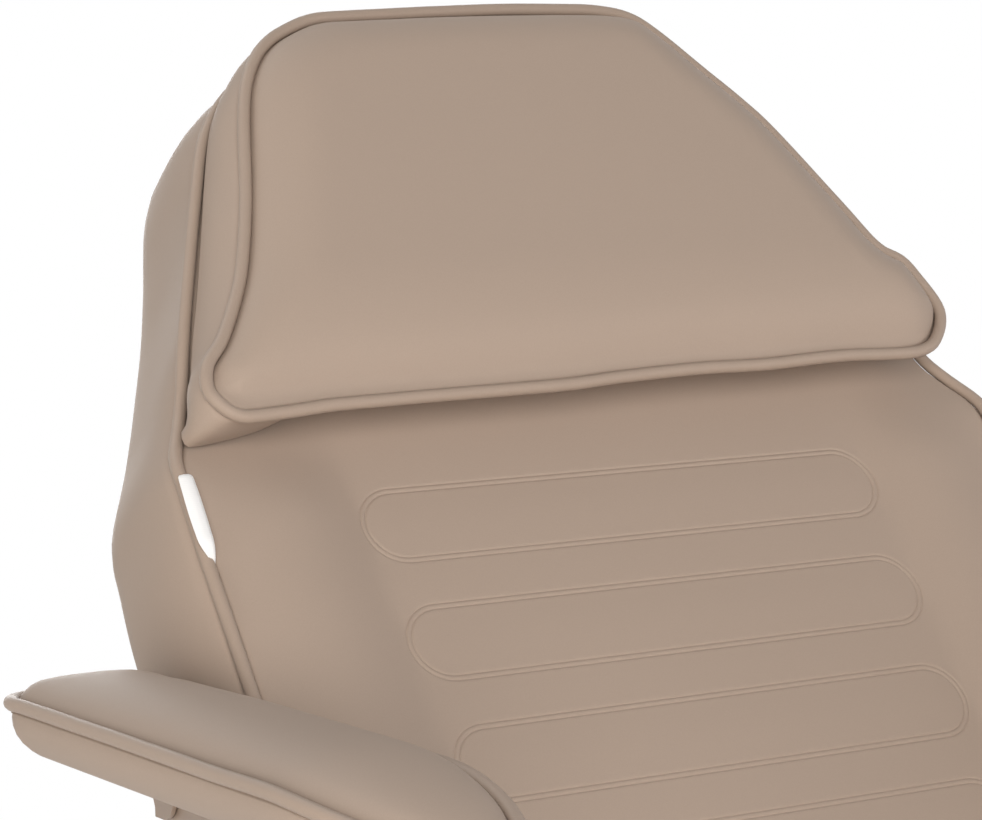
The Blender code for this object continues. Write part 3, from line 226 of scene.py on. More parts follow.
def coatedFabric(name, look):
    # Polyurethane-coated knit, embossed with a fine hide grain: matte, a little darker in the pores
    made, tree, shader, place = newMaterial(name, {
        "Roughness": look["roughness"], "IOR": 1.46, "Specular IOR Level": look["specular"],
        "Sheen Weight": look["sheen"], "Sheen Roughness": 0.6,
    })
    cells = {"Scale": 1000 / look["grainMm"], "Randomness": 0.9}
    grain = texture(tree, "Voronoi", place, cells, feature="SMOOTH_F1")
    pores = texture(tree, "Noise", place, {"Scale": 1000 / look["poreMm"], "Detail": 3})
    clouds = texture(tree, "Noise", place, {"Scale": 1000 / look["cloudMm"], "Detail": 2, "Roughness": 0.4})
    tone = ranged(tree, clouds["Fac"], 0.3, 0.7, -look["cloudDepth"], look["cloudDepth"])
    dark = ranged(tree, pores["Fac"], 0.35, 0.75, 0.0, look["poreDepth"])
    level = add(tree, "Math", {0: 1.0}, {1: dark}, operation="SUBTRACT")
    level = add(tree, "Math", {}, {0: level.outputs[0], 1: tone}, operation="ADD")
    tinted(tree, shader, look["colour"], level.outputs[0])
    depths = {0: grain["Distance"], 2: pores["Fac"]}
    height = add(tree, "Math", {1: 0.35}, depths, operation="MULTIPLY_ADD")
    bumped(tree, shader, height.outputs[0], look["bump"], 0.0002)
    return made


upholstery = {
    "colour": "#AE9C8E", "roughness": 0.60, "sheen": 0.02, "specular": 0.22,
    "grainMm": 1.4,       # real grain is about 0.7 mm, drawn at twice that to show at all
    "poreMm": 0.9, "poreDepth": 0.035,
    "cloudMm": 260, "cloudDepth": 0.012,
    "bump": 0.12,
}
leatherette = coatedFabric("cappuccino_leatherette", upholstery)
pipingLeatherette = coatedFabric("piping_leatherette", {**upholstery, "colour": "#AA988A", "roughness": 0.5})
print("materials made")

# Places of the cushions: u across, v along, w out of the face

recline = math.radians(39.4)
droop = math.radians(40.0)


def placeMatrix(origin, u, v, w):
    made = Matrix((u, v, w)).transposed().to_4x4()
    made.translation = origin
    return made


backUp = Vector((0, math.sin(recline), math.cos(recline)))
backOut = Vector((0, -math.cos(recline), math.sin(recline)))
hingeDepth = 0.078
backPlace = placeMatrix(joints["recline"] + backOut * hingeDepth, Vector((1, 0, 0)), backUp, backOut)
seatHeight = 0.588
legDepth = 0.1151
seatPlace = Matrix.Translation((0, 0, seatHeight))
legFrame = Matrix.Translation(joints["leg_rest"]) @ Matrix.Rotation(droop, 4, "X")
legPlace = legFrame @ Matrix.Translation((0, 0, legDepth))


# Cushions


def ovalGap(points, oval):
    # distance to a sewn oval's line, less than zero inside it
    straight = oval["halfWidth"] - oval["halfHeight"]
    beyond = np.maximum(np.abs(points[:, 0]) - straight, 0)
    return np.hypot(beyond, points[:, 1] - oval["middle"]) - oval["halfHeight"]


def ovalLoops(oval, offsets, spacing):
    # rows of points beside a sewn oval, lined up so that the creases stay even
    straight = oval["halfWidth"] - oval["halfHeight"]
    right = arc((straight, oval["middle"]), oval["halfHeight"], -math.pi / 2, math.pi / 2, 40)
    left = arc((-straight, oval["middle"]), oval["halfHeight"], math.pi / 2, 3 * math.pi / 2, 40)
    line = evenly(right + left, spacing)
    normals = outwards(line)
    return [line + normals * offset for offset in offsets]


quilting = {
    "lineGap": 0.0034,        # between the two lines of stitching
    "lineDepth": 0.0007, "lineWidth": 0.00055,
    "dip": 0.00035, "dipWidth": 0.012,
    "puff": 0.0003,
}


def quilted(points, ovals):
    # height that the sewn ovals take away: two fine creases in a shallow hollow
    height = np.zeros(len(points))
    for oval in ovals:
        gap = ovalGap(points, oval)
        half = quilting["lineGap"] / 2
        for line in (-half, half):
            height -= quilting["lineDepth"] * np.exp(-((gap - line) / quilting["lineWidth"]) ** 2)
        height -= quilting["dip"] * np.exp(-(gap / quilting["dipWidth"]) ** 2)
        height += quilting["puff"] * smoothRise(-gap / oval["halfHeight"])
    return height


seamLook = {
    "tuck": 0.0055,           # how far the cover goes down beside its piping
    "tuckWidth": 0.0050,
    "pucker": 0.00035, "puckerLength": 0.016, "puckerReach": 0.018,
}


def seamFolds(distance, along, seed):
    # the cover is drawn down beside the piping, with faint puckers that fade away from it
    ripple = wander(np.column_stack([along, distance * 0.35]), seamLook["puckerLength"], seed)
    ripple = ripple * seamLook["pucker"] * np.exp(-distance / seamLook["puckerReach"])
    tuck = seamLook["tuck"] * np.exp(-(distance / seamLook["tuckWidth"]) ** 4)
    return ripple * smoothRise(distance / 0.004) - tuck


# Points that a cushion's face is spanned over: rows beside its seam and beside its sewn lines, at
# these distances from them, and a grid that keeps clear of both
facePoints = {
    "seamRows": (0.0014, 0.0028, 0.0039, 0.0047, 0.0055, 0.0065, 0.008, 0.0115, 0.016),
    "ovalRows": (0.0004, 0.0010, 0.0017, 0.0024, 0.0031, 0.0045, 0.007), "ovalSpacing": 0.0032,
    "gridFromSeam": 0.019, "gridFromOval": 0.009,
    "rimReach": 0.035,        # how far in from the seam the face follows its height
}


def scattered(seam, ovals, gridSize):
    # all these points, flat
    look = facePoints
    out = outwards(seam)
    rows = [seam]
    for inset in look["seamRows"]:
        loop = seam - out * inset
        rows.append(loop[nearest(loop, seam)[0] > inset * 0.92])
    offsets = [-row for row in look["ovalRows"][::-1]] + list(look["ovalRows"])
    for oval in ovals:
        rows += ovalLoops(oval, offsets, look["ovalSpacing"])
    low, high = seam.min(0), seam.max(0)
    across, up = np.meshgrid(np.arange(low[0], high[0], gridSize), np.arange(low[1], high[1], gridSize))
    grid = np.column_stack([across.ravel(), up.ravel()]) + 0.0003
    grid += 0.0004 * np.column_stack([np.sin(grid[:, 1] * 900), np.sin(grid[:, 0] * 700)])
    grid = grid[np.array([insideOf(p, seam) for p in grid])]
    grid = grid[nearest(grid, seam)[0] > look["gridFromSeam"]]
    for oval in ovals:
        grid = grid[np.abs(ovalGap(grid, oval)) > look["gridFromOval"]]
    return np.vstack(rows + [grid])


def cushionBody(name, seam, faceHeight, boxing, body, place, ovals=(), gridSize=0.008, seed=1, rim=None):
    # one closed skin: face over its seam line, boxing ring by ring, and a flat rear
    # rim is how high the seam runs
    edges = [(i, (i + 1) % len(seam)) for i in range(len(seam))]
    flat = [Vector(p) for p in scattered(seam, ovals, gridSize)]
    corners, _, faces, *_ = delaunay_2d_cdt(flat, edges, [], 1, 1e-6)
    corners = np.array([tuple(c) for c in corners])
    distance, along = nearest(corners, seam)
    height = faceHeight(corners, distance) + seamFolds(distance, along, seed)
    height += quilted(corners, ovals)
    if rim:
        height += rim(corners) * np.exp(-(distance / facePoints["rimReach"]) ** 2)
    shape = bmesh.new()
    verts = [shape.verts.new((*corner, top)) for corner, top in zip(corners, height)]
    for face in faces:
        shape.faces.new([verts[i] for i in face])
    upper = [verts[int(np.abs(corners - p).sum(1).argmin())] for p in seam]
    lift = rim(seam) if rim else np.zeros(len(seam))
    for outset, down, share in boxing(seam, outwards(seam)):
        ring = [shape.verts.new((p[0], p[1], d)) for p, d in zip(outset, down + lift * (1 - share))]
        for i in range(len(ring)):
            k = (i + 1) % len(ring)
            shape.faces.new((upper[i], ring[i], ring[k], upper[k]))
        upper = ring
    shape.faces.new(upper[::-1])
    return newPiece(name, shape, leatherette, body, place)


def insideOf(point, loop):
    # even-odd test
    x, y = point
    ends = np.roll(loop, -1, 0)
    crosses = (loop[:, 1] > y) != (ends[:, 1] > y)
    start, run = loop[crosses], (ends - loop)[crosses]
    at = start[:, 0] + (y - start[:, 1]) * run[:, 0] / run[:, 1]
    return (at > x).sum() % 2 == 1


def piping(name, line, radius, body, place):
    # a covered cord along a closed line of 3-D points
    turns = [2 * math.pi * k / pipingSides for k in range(pipingSides)]
    rings = []
    for before, point, after in zip(np.roll(line, 1, 0), line, np.roll(line, -1, 0)):
        along = (Vector(after) - Vector(before)).normalized()
        side = along.cross(Vector((0, 0, 1))).normalized()
        up = side.cross(along)
        rings.append([Vector(point) + (side * math.cos(t) + up * math.sin(t)) * radius for t in turns])
    shape = bmesh.new()
    skin(shape, rings, looped=True)
    newPiece(name, shape, pipingLeatherette, body, place, crease=None)


def wavyLine(seam, height, seed, sway=0.0005, lift=0.0004):
    # a seam line as sewn by hand: it wanders a little, out and up
    lengths = np.hypot(*(np.roll(seam, -1, 0) - seam).T)
    total = lengths.sum()
    turns = np.concatenate([[0], np.cumsum(lengths)[:-1]]) / total * 2 * math.pi
    ring = np.column_stack([np.cos(turns), np.sin(turns)]) * total / 2 / math.pi
    moved = seam + outwards(seam) * wander(ring, 0.07, seed)[:, None] * sway
    return np.column_stack([moved, height + wander(ring, 0.06, seed + 5) * lift])


pipingRadius = 0.0041
pipingSides = 12

backLook = {
    "halfFoot": 0.298, "halfWaist": 0.3045, "shoulder": 0.4535, "halfHead": 0.177,
    "start": 0.062, "top": 0.769, "thick": 0.128, "spacing": 0.0055,
    "radii": (0.030, 0.030, 0.060, 0.150, 0.150, 0.060),
    # the pillow's weight draws the piping in and down above the shoulder, and it rises again below
    "waistPull": 0.005, "waistPullAt": 0.497, "waistPullReach": 0.035,
    "rimHeights": (0.10, 0.302, 0.402, 0.432, 0.447, 0.464, 0.482, 0.497, 0.517, 0.547),
    "rimLift": (0.0, 0.003, 0.006, 0.008, 0.0075, 0.001, -0.0035, -0.006, -0.003, 0.0),
    "rimEase": 0.008, "sideEase": 0.017,
    "bolster": 0.0115, "bolsterMiddle": 0.243, "bolsterHalf": 0.054,
    "bolsterTop": 0.488, "bolsterFade": 0.080,
    "rings": (0.02, 0.05, 0.1, 0.18, 0.3, 0.42, 0.55, 0.68, 0.78, 0.86, 0.93, 0.98, 1.0),
    # by height, how far the side stands out of the seam, and how far its rear edge is drawn in again
    # both rows of values were fitted to the photo's silhouette by least squares
    "boxingHeights": (
        0.20, 0.33, 0.36, 0.405, 0.43, 0.447, 0.467, 0.486,
        0.505, 0.55, 0.60, 0.64, 0.68, 0.72, 0.75, 0.77,
    ),
    "boxingSwell": (
        0.0142, 0.0151, 0.0154, 0.0127, 0.008, 0.0057, 0.0082, 0.0106,
        0.0065, -0.0005, -0.0021, 0.0003, 0.0055, 0.0142, 0.0072, 0.0002,
    ),
    "tuckHeights": (0.20, 0.33, 0.40, 0.45, 0.50, 0.56, 0.64, 0.72),
    "rearTuck": (0.007, 0.008, 0.0094, 0.0111, 0.0114, 0.011, 0.0105, 0.0105),
    "puckers": 0.0008, "puckerLength": 0.05,
    # rear panel, ring by ring: in from the seam, and down from the face
    "panel": (
        (0.0165, -0.1282), (0.0140, -0.1300), (0.0135, -0.1345),
        (0.0150, -0.1380), (0.0185, -0.1399), (0.0230, -0.1403),
    ),
    "panelPiping": (0.0128, -0.1292), "panelPipingRadius": 0.0028,
    "firstOval": 0.402, "ovals": 4, "pitch": 0.0815,
    "ovalHalfWidth": 0.1915, "ovalHalfHeight": 0.0243, "taper": 0.029,
}


labelLook = {
    "colour": "#FCFDFE", "threadMm": 0.5,
    "top": 0.4425, "foot": 0.3845, "bow": 0.16, "steps": 28,
    # its run out of the seam: sideways from the seam and up off the face
    "section": [
        (0.0, -0.002), (0.0010, 0.003), (0.0012, 0.006), (0.0, 0.0085),
        (-0.0030, 0.0102), (-0.0070, 0.0104), (-0.0105, 0.0092),
    ],
    "thick": 0.0006,
    "rootReach": 0.15,                      # how far its ends stand out, as a share of its middle
    "topShare": 0.09, "tailShare": 0.22,    # shares of its length over which its ends rise
}


def satinRibbon(look):
    # Woven satin polyester ribbon: white and bare, with a faint lustre along its threads
    values = {"Roughness": 0.45, "Sheen Weight": 0.2, "Sheen Roughness": 0.4}
    made, tree, shader, place = newMaterial("woven_satin_label", values)
    waves = {"Scale": 1000 / look["threadMm"] / 6.3, "Distortion": 0.4}
    threads = texture(tree, "Wave", place, waves, bands_direction="Z")["Fac"]
    tinted(tree, shader, look["colour"], ranged(tree, threads, 0, 1, 0.97, 1.0))
    bumped(tree, shader, threads, 0.3, 0.0001)
    return made


def wovenLabel(seam, rim):
    # folded double and sewn into the left seam
    look = labelLook
    left = seam[seam[:, 0] < 0]
    left = left[left[:, 1].argsort()]
    section = np.array(look["section"])
    normals = np.gradient(section, axis=0)
    normals = np.column_stack([-normals[:, 1], normals[:, 0]]) / np.hypot(*normals.T)[:, None] * look["thick"]
    ribbon = np.vstack([section, (section + normals)[::-1]])
    rings = []
    for i in range(look["steps"] + 1):
        share = i / look["steps"]
        height = look["top"] + (look["foot"] - look["top"]) * share
        top, tail = min(1, share / look["topShare"]), min(1, (1 - share) / look["tailShare"])
        rise = math.sqrt(1 - (1 - top) ** 2) * (1 - (1 - tail) ** 2)
        bow = 1 + look["bow"] * (math.sin(math.pi * share) - 0.6)
        reach = (look["rootReach"] + (1 - look["rootReach"]) * rise) * bow
        across = float(np.interp(height, left[:, 1], left[:, 0])) + pipingRadius
        lift = float(rim(np.array([[across, height]]))[0])
        rings.append([(across + side * reach, height, lift + up * reach) for side, up in ribbon])
    shape = bmesh.new()
    skin(shape, rings)
    newPiece("seam_label", shape, satinRibbon(look), "back", backPlace)


def softly(heights, knots, values, reach):
    # values between a few knots, with the bends eased
    shifts = (-reach, -reach / 2, 0, reach / 2, reach)
    return sum(np.interp(heights + shift, knots, values) for shift in shifts) / 5


def ovalRow(first, step, halfWidth, taper=0):
    # sewn ovals at an even pitch, each narrower than the one before if they taper
    ovals = []
    for i in range(backLook["ovals"]):
        middle, half = first + i * step, halfWidth - taper * abs(i * step)
        ovals.append({"middle": middle, "halfWidth": half, "halfHeight": backLook["ovalHalfHeight"]})
    return ovals


def backOutline(look):
    # the seam of the back: straight to the shoulder, then drawn in to the head
    foot, waist, head = look["halfFoot"], look["halfWaist"], look["halfHead"]
    corners = [
        (-foot, look["start"]), (foot, look["start"]), (waist, look["shoulder"]),
        (head, look["top"]), (-head, look["top"]), (-waist, look["shoulder"]),
    ]
    seam = evenly(rounded(corners, look["radii"]), look["spacing"])
    pull = np.exp(-((seam[:, 1] - look["waistPullAt"]) / look["waistPullReach"]) ** 2)
    seam[:, 0] -= np.sign(seam[:, 0]) * look["waistPull"] * pull
    return seam


def backCushion():
    look = backLook
    seam = backOutline(look)
    ovals = ovalRow(look["firstOval"], -look["pitch"], look["ovalHalfWidth"], look["taper"])

    def face(points, distance):
        away = np.clip(np.abs(np.abs(points[:, 0]) - look["bolsterMiddle"]) / look["bolsterHalf"], 0, 1)
        fade = smoothRise((look["bolsterTop"] - points[:, 1]) / look["bolsterFade"])
        foot = smoothRise((points[:, 1] - look["start"]) / 0.05)
        return look["bolster"] * (1 - away ** 2) ** 1.5 * fade * foot

    def rim(points):
        return softly(points[:, 1], look["rimHeights"], look["rimLift"], look["rimEase"])

    def boxing(seam, out):
        foot = smoothRise((seam[:, 1] - look["start"]) / 0.06)
        swell = softly(seam[:, 1], look["boxingHeights"], look["boxingSwell"], look["sideEase"]) * foot
        tuck = softly(seam[:, 1], look["tuckHeights"], look["rearTuck"], look["sideEase"]) * foot
        lengths = np.arange(len(seam)) * look["spacing"]
        for share in look["rings"]:
            outset = swell * (1 - abs(2 * share - 1) ** 3) - tuck * max(0, (share - 0.7) / 0.3) ** 2
            places = np.column_stack([lengths, np.full(len(seam), share * 0.05)])
            puckers = wander(places, look["puckerLength"], 11) * look["puckers"] * math.sin(math.pi * share)
            edge = -0.0015 if share < 0.04 else 0.0
            outset = outset + puckers * foot + edge
            yield seam + out * outset[:, None], -0.003 - (look["thick"] - 0.003) * share, share

    piece = cushionBody("back_cushion_cover", seam, face, boxing, "back", backPlace, ovals, seed=3, rim=rim)
    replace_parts(piece, "back_cushion")
    line = wavyLine(seam, 0.0, 21)
    line[:, 2] += rim(seam)
    piping("back_piping", line, pipingRadius, "back", backPlace)
    backPanel(seam)
    wovenLabel(seam, rim)


def backPanel(seam):
    # plywood covered with the same leatherette, screwed to the cushion's rear
    look = backLook
    out = outwards(seam)
    shape = bmesh.new()
    skin(shape, [[(*point, depth) for point in seam - out * inset] for inset, depth in look["panel"]])
    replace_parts(newPiece("back_panel", shape, leatherette, "back", backPlace), "back_board")
    inset, depth = look["panelPiping"]
    line = np.column_stack([seam - out * inset, np.full(len(seam), depth)])
    piping("back_panel_piping", line, look["panelPipingRadius"], "back", backPlace)


pillowLook = {
    # piping line over the back's face, in millimetres across and up from the first oval's middle,
    # then how far its rear lies from it; read off the photo, put on the back's plane and adjusted
    "seam": [
        (-288, 78, 1, 0), (-285, 69, -8, 3), (-279, 61, -14, 2), (-271, 57, -14, 5), (-259, 57, -10, 7),
        (-236, 58, -4, 12), (-209, 60, 0, 23), (-163, 61, 0, 36), (-104, 62, 0, 38), (-57, 63, 0, 38),
        (-32, 64, 0, 38), (0, 66, 0, 38), (62, 68, 0, 38), (121, 68, 0, 38), (177, 70, 0, 36),
        (210, 69, 0, 32), (233, 69, -2, 26), (248, 73, -4, 18), (259, 82, -2, 8), (267, 94, 0, 4),
        (269, 106, 2, 0), (263, 126, 5, 0), (256, 142, 7, 0), (240, 155, 9, 0), (225, 192, 9, 0),
        (198, 253, 8, 0), (181, 281, 7, 2), (163, 306, 6, 4), (141, 337, 3, 5), (124, 354, 1, 5),
        (102, 361, 0, 5), (70, 363, 0, 5), (-10, 361, 0, 6), (-99, 356, 0, 7), (-127, 353, -2, 6),
        (-151, 343, -4, 4), (-165, 334, -5, 2), (-177, 322, -6, 1), (-189, 303, -9, 1),
        (-200, 274, -12, 0), (-219, 213, -16, 0), (-236, 167, -16.5, 0), (-250, 139, -14, 0),
        (-268, 111, -6.5, 0), (-283, 94, 1, 0),
    ],
    "spacing": 0.0045,
    "edge": 0.045, "crown": 0.024, "foot": 0.092, "side": 0.046, "head": 0.024,
    "rings": (0.03, 0.08, 0.16, 0.28, 0.4, 0.52, 0.64, 0.76, 0.88, 0.96, 1.0),
    "swell": 0.004, "puckers": 0.0010, "puckerLength": 0.035,
    "rear": 0.0065,           # height of its rear over the back's face
}


def pillowOutline(look):
    # its piping line, anticlockwise, and beside it the way to its rear
    raised = backLook["firstOval"]
    seam = [(u / 1000, v / 1000 + raised, x / 1000, y / 1000) for u, v, x, y in look["seam"]]
    seam = evenly(smoothLoop(seam, 4), look["spacing"])
    if sum(a[0] * b[1] - a[1] * b[0] for a, b in zip(seam, np.roll(seam, -1, 0))) < 0:
        seam = seam[::-1].copy()
    return seam[:, :2], seam[:, 2:]


def pillowCushion():
    look = pillowLook
    seam, rear = pillowOutline(look)
    low, high = seam.min(0), seam.max(0)
    drop = look["edge"] - 0.003 - look["rear"]

    def face(points, distance):
        foot = np.clip(1 - (points[:, 1] - low[1]) / look["foot"], 0, 1)
        head = np.clip(1 - (high[1] - points[:, 1]) / look["head"], 0, 1)
        edge = np.clip(1 - distance / look["side"], 0, 1)
        near = np.minimum(1, (foot ** 3 + head ** 3 + edge ** 3) ** (1 / 3))
        rise = 1 - (1 - np.clip(distance / 0.012, 0, 1)) ** 2
        return look["edge"] + look["crown"] * (1 - near ** 2) * rise

    def boxing(seam, out):
        atFoot = smoothRise(-out[:, 1] / 0.75)
        lengths = np.arange(len(seam)) * look["spacing"]
        for share in look["rings"]:
            gone = share * (1 - atFoot) + share ** 0.55 * atFoot
            belly = math.sin(math.pi * share)
            places = np.column_stack([lengths, np.full(len(seam), share * 0.04)])
            puckers = wander(places, look["puckerLength"], 31) * look["puckers"] * belly
            edge = 0.0012 if share < 0.05 else 0.0
            swell = (look["swell"] * belly + puckers) * (1 - 0.6 * atFoot) - edge
            depth = look["edge"] - 0.003 - drop * share
            yield seam + rear * gone[:, None] + out * swell[:, None], depth, share

    piece = cushionBody("pillow_cover", seam, face, boxing, "pillow", backPlace, gridSize=0.007, seed=9)
    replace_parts(piece, "pillow")
    line = wavyLine(seam, look["edge"], 33, 0.0009, 0.0008)
    piping("pillow_piping", line, pipingRadius, "pillow", backPlace)


seatLook = {
    "halfWidth": 0.290, "front": 0.297, "rear": 0.215, "corner": 0.040, "thick": 0.1245, "crown": 0.012,
    "firstOval": 0.1335, "ovalHalfWidth": 0.1915,
}
legLook = {
    "halfTop": 0.285, "halfFoot": 0.235, "start": 0.010, "length": 0.467, "thick": 0.090, "crown": 0.010,
    "radii": (0.080, 0.080, 0.030, 0.030),
    "firstOval": 0.085, "ovalHalfWidth": 0.1672,
}
flatLook = {
    "spacing": 0.006,
    "rings": (0.02, 0.06, 0.14, 0.3, 0.5, 0.7, 0.86, 0.94, 0.98, 1.0),
    "swell": 0.004, "crownReach": 0.07,
}


def flatCushion(name, node, outline, look, ovals, body, place, seed):
    seam = evenly(outline, flatLook["spacing"])

    def face(points, distance):
        return look["crown"] * (1 - (1 - np.clip(distance / flatLook["crownReach"], 0, 1)) ** 2)

    def boxing(seam, out):
        for share in flatLook["rings"]:
            swell = flatLook["swell"] * math.sin(math.pi * share) - 0.0015 * (share < 0.04)
            yield seam + out * swell, -0.003 - (look["thick"] - 0.003) * share, share

    piece = cushionBody(name + "_cover", seam, face, boxing, body, place, ovals, seed=seed)
    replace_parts(piece, node)
    piping(name + "_piping", wavyLine(seam, 0.0, seed + 40), pipingRadius, body, place)


def seatCushion():
    look = seatLook
    x, front, rear = look["halfWidth"], -look["front"], look["rear"]
    corners = [(-x, front), (x, front), (x, rear), (-x, rear)]
    seam = rounded(corners, [look["corner"]] * 4)
    ovals = ovalRow(front + look["firstOval"], backLook["pitch"], look["ovalHalfWidth"])
    flatCushion("seat_cushion", "seat_cushion", seam, look, ovals, "seat", seatPlace, 51)


def legCushion():
    look = legLook
    start, end = look["start"], look["start"] - look["length"]
    top, foot = look["halfTop"], look["halfFoot"]
    seam = rounded([(-foot, end), (foot, end), (top, start), (-top, start)], look["radii"])
    ovals = ovalRow(start - look["firstOval"], -backLook["pitch"], look["ovalHalfWidth"])
    flatCushion("leg_cushion", "leg_cushion", seam, look, ovals, "leg", legPlace, 61)


armLook = {
    "inner": 0.323, "width": 0.101, "seat": 0.030, "thick": 0.032, "crown": 0.0185,
    "behind": 0.050, "length": 0.480, "tilt": 3.0,
    "rearEnd": 0.045, "frontEnd": 0.140,      # lengths over which the ends round off
    "rearRise": 0.20, "frontRise": 0.16,      # how far in from each end the crest reaches its height
    # the rear end is blown up right from its piping
    "rearFullness": 0.22, "rearReach": 0.065, "rearShoulder": 0.022,
    "rearDroop": 0.004, "rearDroopLength": 0.055,
    "droop": 0.019, "droopLength": 0.130,     # the seam runs down towards the front tip
    "rearTuck": 3.2, "frontTuck": 1.6,        # how much more the ends draw in underneath than the sides
    # its side, ring by ring: in from the seam, and its share of the depth
    "rings": (
        (0.0013, 0.13), (0.0004, 0.27), (0.0006, 0.42), (0.0022, 0.58),
        (0.0055, 0.74), (0.0100, 0.88), (0.0140, 0.97), (0.0170, 1.0),
    ),
    "spacing": 0.0045,
}


def armOutline(look):
    half, ahead = look["width"] / 2, look["behind"] - look["length"]
    right = []
    for i in range(49):
        turn = math.pi / 2 * i / 48
        right.append((half * math.sin(turn), ahead + look["frontEnd"] * (1 - math.cos(turn))))
    for i in range(33):
        turn = math.pi / 2 * i / 32
        right.append((half * math.cos(turn) ** 0.87, look["behind"] - look["rearEnd"] * (1 - math.sin(turn))))
    return evenly(right + [(-x, y) for x, y in right[-2:0:-1]], look["spacing"])


def armFrame(hand):
    tilt = Matrix.Rotation(-math.radians(armLook["tilt"]), 4, "X")
    return Matrix.Translation(joints[f"arm_{hand}_pivot"]) @ tilt


def armPad(side, hand):
    look = armLook
    half, ahead = look["width"] / 2, look["behind"] - look["length"]
    seam = armOutline(look)
    middle = (side * (look["inner"] + half), 0, look["seat"] + look["thick"])
    place = armFrame(hand) @ Matrix.Translation(middle)

    def droop(points):
        front = np.clip((ahead + look["droopLength"] - points[:, 1]) / look["droopLength"], 0, 1)
        rear = np.clip(1 - (look["behind"] - points[:, 1]) / look["rearDroopLength"], 0, 1)
        return -look["droop"] * front ** 1.6 - look["rearDroop"] * rear ** 1.6

    def face(points, distance):
        rear = np.clip((look["behind"] - points[:, 1]) / look["rearRise"], 0, 1)
        front = np.clip((points[:, 1] - ahead) / look["frontRise"], 0, 1)
        rise = rear ** look["rearFullness"] * np.sqrt(1 - (1 - front) ** 2)
        end = np.clip((points[:, 1] - ahead) / look["frontEnd"], 0.02, 1)
        across = np.clip(np.abs(points[:, 0]) / (half * np.sqrt(1 - (1 - end) ** 2)), 0, 1)
        side = (1 - across ** 2.3) ** 0.85
        atRear = 1 - smoothRise((look["behind"] - points[:, 1]) / look["rearReach"])
        shoulder = 1 - (1 - np.clip(distance / look["rearShoulder"], 0, 1)) ** 2
        dome = side * (1 - atRear) + shoulder * atRear
        puff = look["crown"] * dome * rise * np.clip(distance / 0.012, 0, 1) ** 0.5
        return puff + droop(points) * (1 - np.exp(-(distance / facePoints["rimReach"]) ** 2))

    def boxing(seam, out):
        ends = np.clip(np.abs(out[:, 1]) - 0.25, 0, 1)
        more = 1 + ends * np.where(out[:, 1] > 0, look["rearTuck"], look["frontTuck"])
        for inset, share in look["rings"]:
            drawnIn = inset * np.where(share > 0.3, more, 1)
            yield seam - out * drawnIn[:, None], -look["thick"] * share, share

    body, cover = f"arm_{hand}", f"arm_pad_{hand}_cover"
    piece = cushionBody(cover, seam, face, boxing, body, place, gridSize=0.007, seed=71 + side, rim=droop)
    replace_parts(piece, f"arm_pad_{hand}")
    line = wavyLine(seam, 0.0, 81 + side)
    line[:, 2] += droop(seam)
    piping(f"arm_pad_{hand}_piping", line, pipingRadius, body, place)


backCushion()
pillowCushion()
seatCushion()
legCushion()
for side, hand in ((-1, "right"), (1, "left")):
    armPad(side, hand)
print("upholstery made")

# Hard materials


def metalFinish(name, colour, metallic, roughness, haze, peel):
    # scratches and handling show as small changes of gloss, drawn coarser than real to show at all
    # haze is its size in mm and how uneven it makes the tone, peel its size in mm and its height
    made, tree, shader, place = newMaterial(name, {"Metallic": metallic, "Roughness": roughness})
    clouds = texture(tree, "Noise", place, {"Scale": 1000 / haze[0], "Detail": 4})["Fac"]
    gloss = ranged(tree, clouds, 0.3, 0.7, roughness * 0.8, roughness * 1.25)
    tree.links.new(gloss, shader.inputs["Roughness"])
    tinted(tree, shader, colour, ranged(tree, clouds, 0.3, 0.7, 1 - haze[1], 1.0))
    bumps = texture(tree, "Noise", place, {"Scale": 1000 / peel[0], "Detail": 2})["Fac"]
    bumped(tree, shader, bumps, peel[1], 0.0001)
    return made


# Steel under a thermoset powder coat: semi-gloss with a fine orange peel
powderCoat = metalFinish("graphite_powder_coat", "#3A3C3F", 0.0, 0.42, haze=(60, 0.06), peel=(1.6, 0.5))
# The armrests' steel has a coat in the cover's own colour
taupeCoat = metalFinish("taupe_powder_coat", "#A08D7E", 0.0, 0.45, haze=(60, 0.05), peel=(1.6, 0.4))
# Steel turned, polished and chrome plated: mirror-like, faintly hazy where hands and shoes touch
chromePlate = metalFinish("chrome_plate", "#C8CBCE", 1.0, 0.10, haze=(90, 0.03), peel=(30, 0.04))
# Steel bright from the grinder and oiled
groundSteel = metalFinish("ground_steel", "#A9ABAD", 1.0, 0.28, haze=(12, 0.08), peel=(2, 0.15))
zincPlate = metalFinish("zinc_plate", "#B4B6B5", 1.0, 0.34, haze=(6, 0.10), peel=(2, 0.15))
# Moulded rubber: dull, slightly dusty
rubber = metalFinish("moulded_rubber", "#232323", 0.0, 0.82, haze=(25, 0.15), peel=(1.2, 0.4))
# Injection-moulded polyamide with a spark-eroded skin
polyamide = metalFinish("black_polyamide", "#262627", 0.0, 0.50, haze=(30, 0.06), peel=(0.9, 0.5))


def birchPly():
    # Rotary-cut birch face veneer, sanded and unlacquered: long pale waves with fine dark pores
    made, tree, shader, place = newMaterial("birch_plywood", {"Roughness": 0.68, "IOR": 1.5})
    stretch = add(tree, "Mapping", {"Scale": (9, 0.6, 9)}, {"Vector": place})
    waves = texture(tree, "Noise", stretch.outputs[0], {"Scale": 9.0, "Detail": 5, "Distortion": 0.3})["Fac"]
    ramp = add(tree, "ValToRGB", {}, {"Fac": waves})
    for stop, position, colour in zip(ramp.color_ramp.elements, (0.35, 0.65), ("#B8946A", "#CDAE83")):
        stop.position, stop.color = position, linear(colour)
    tree.links.new(ramp.outputs["Color"], shader.inputs["Base Color"])
    bumped(tree, shader, waves, 0.3, 0.0002)
    return made


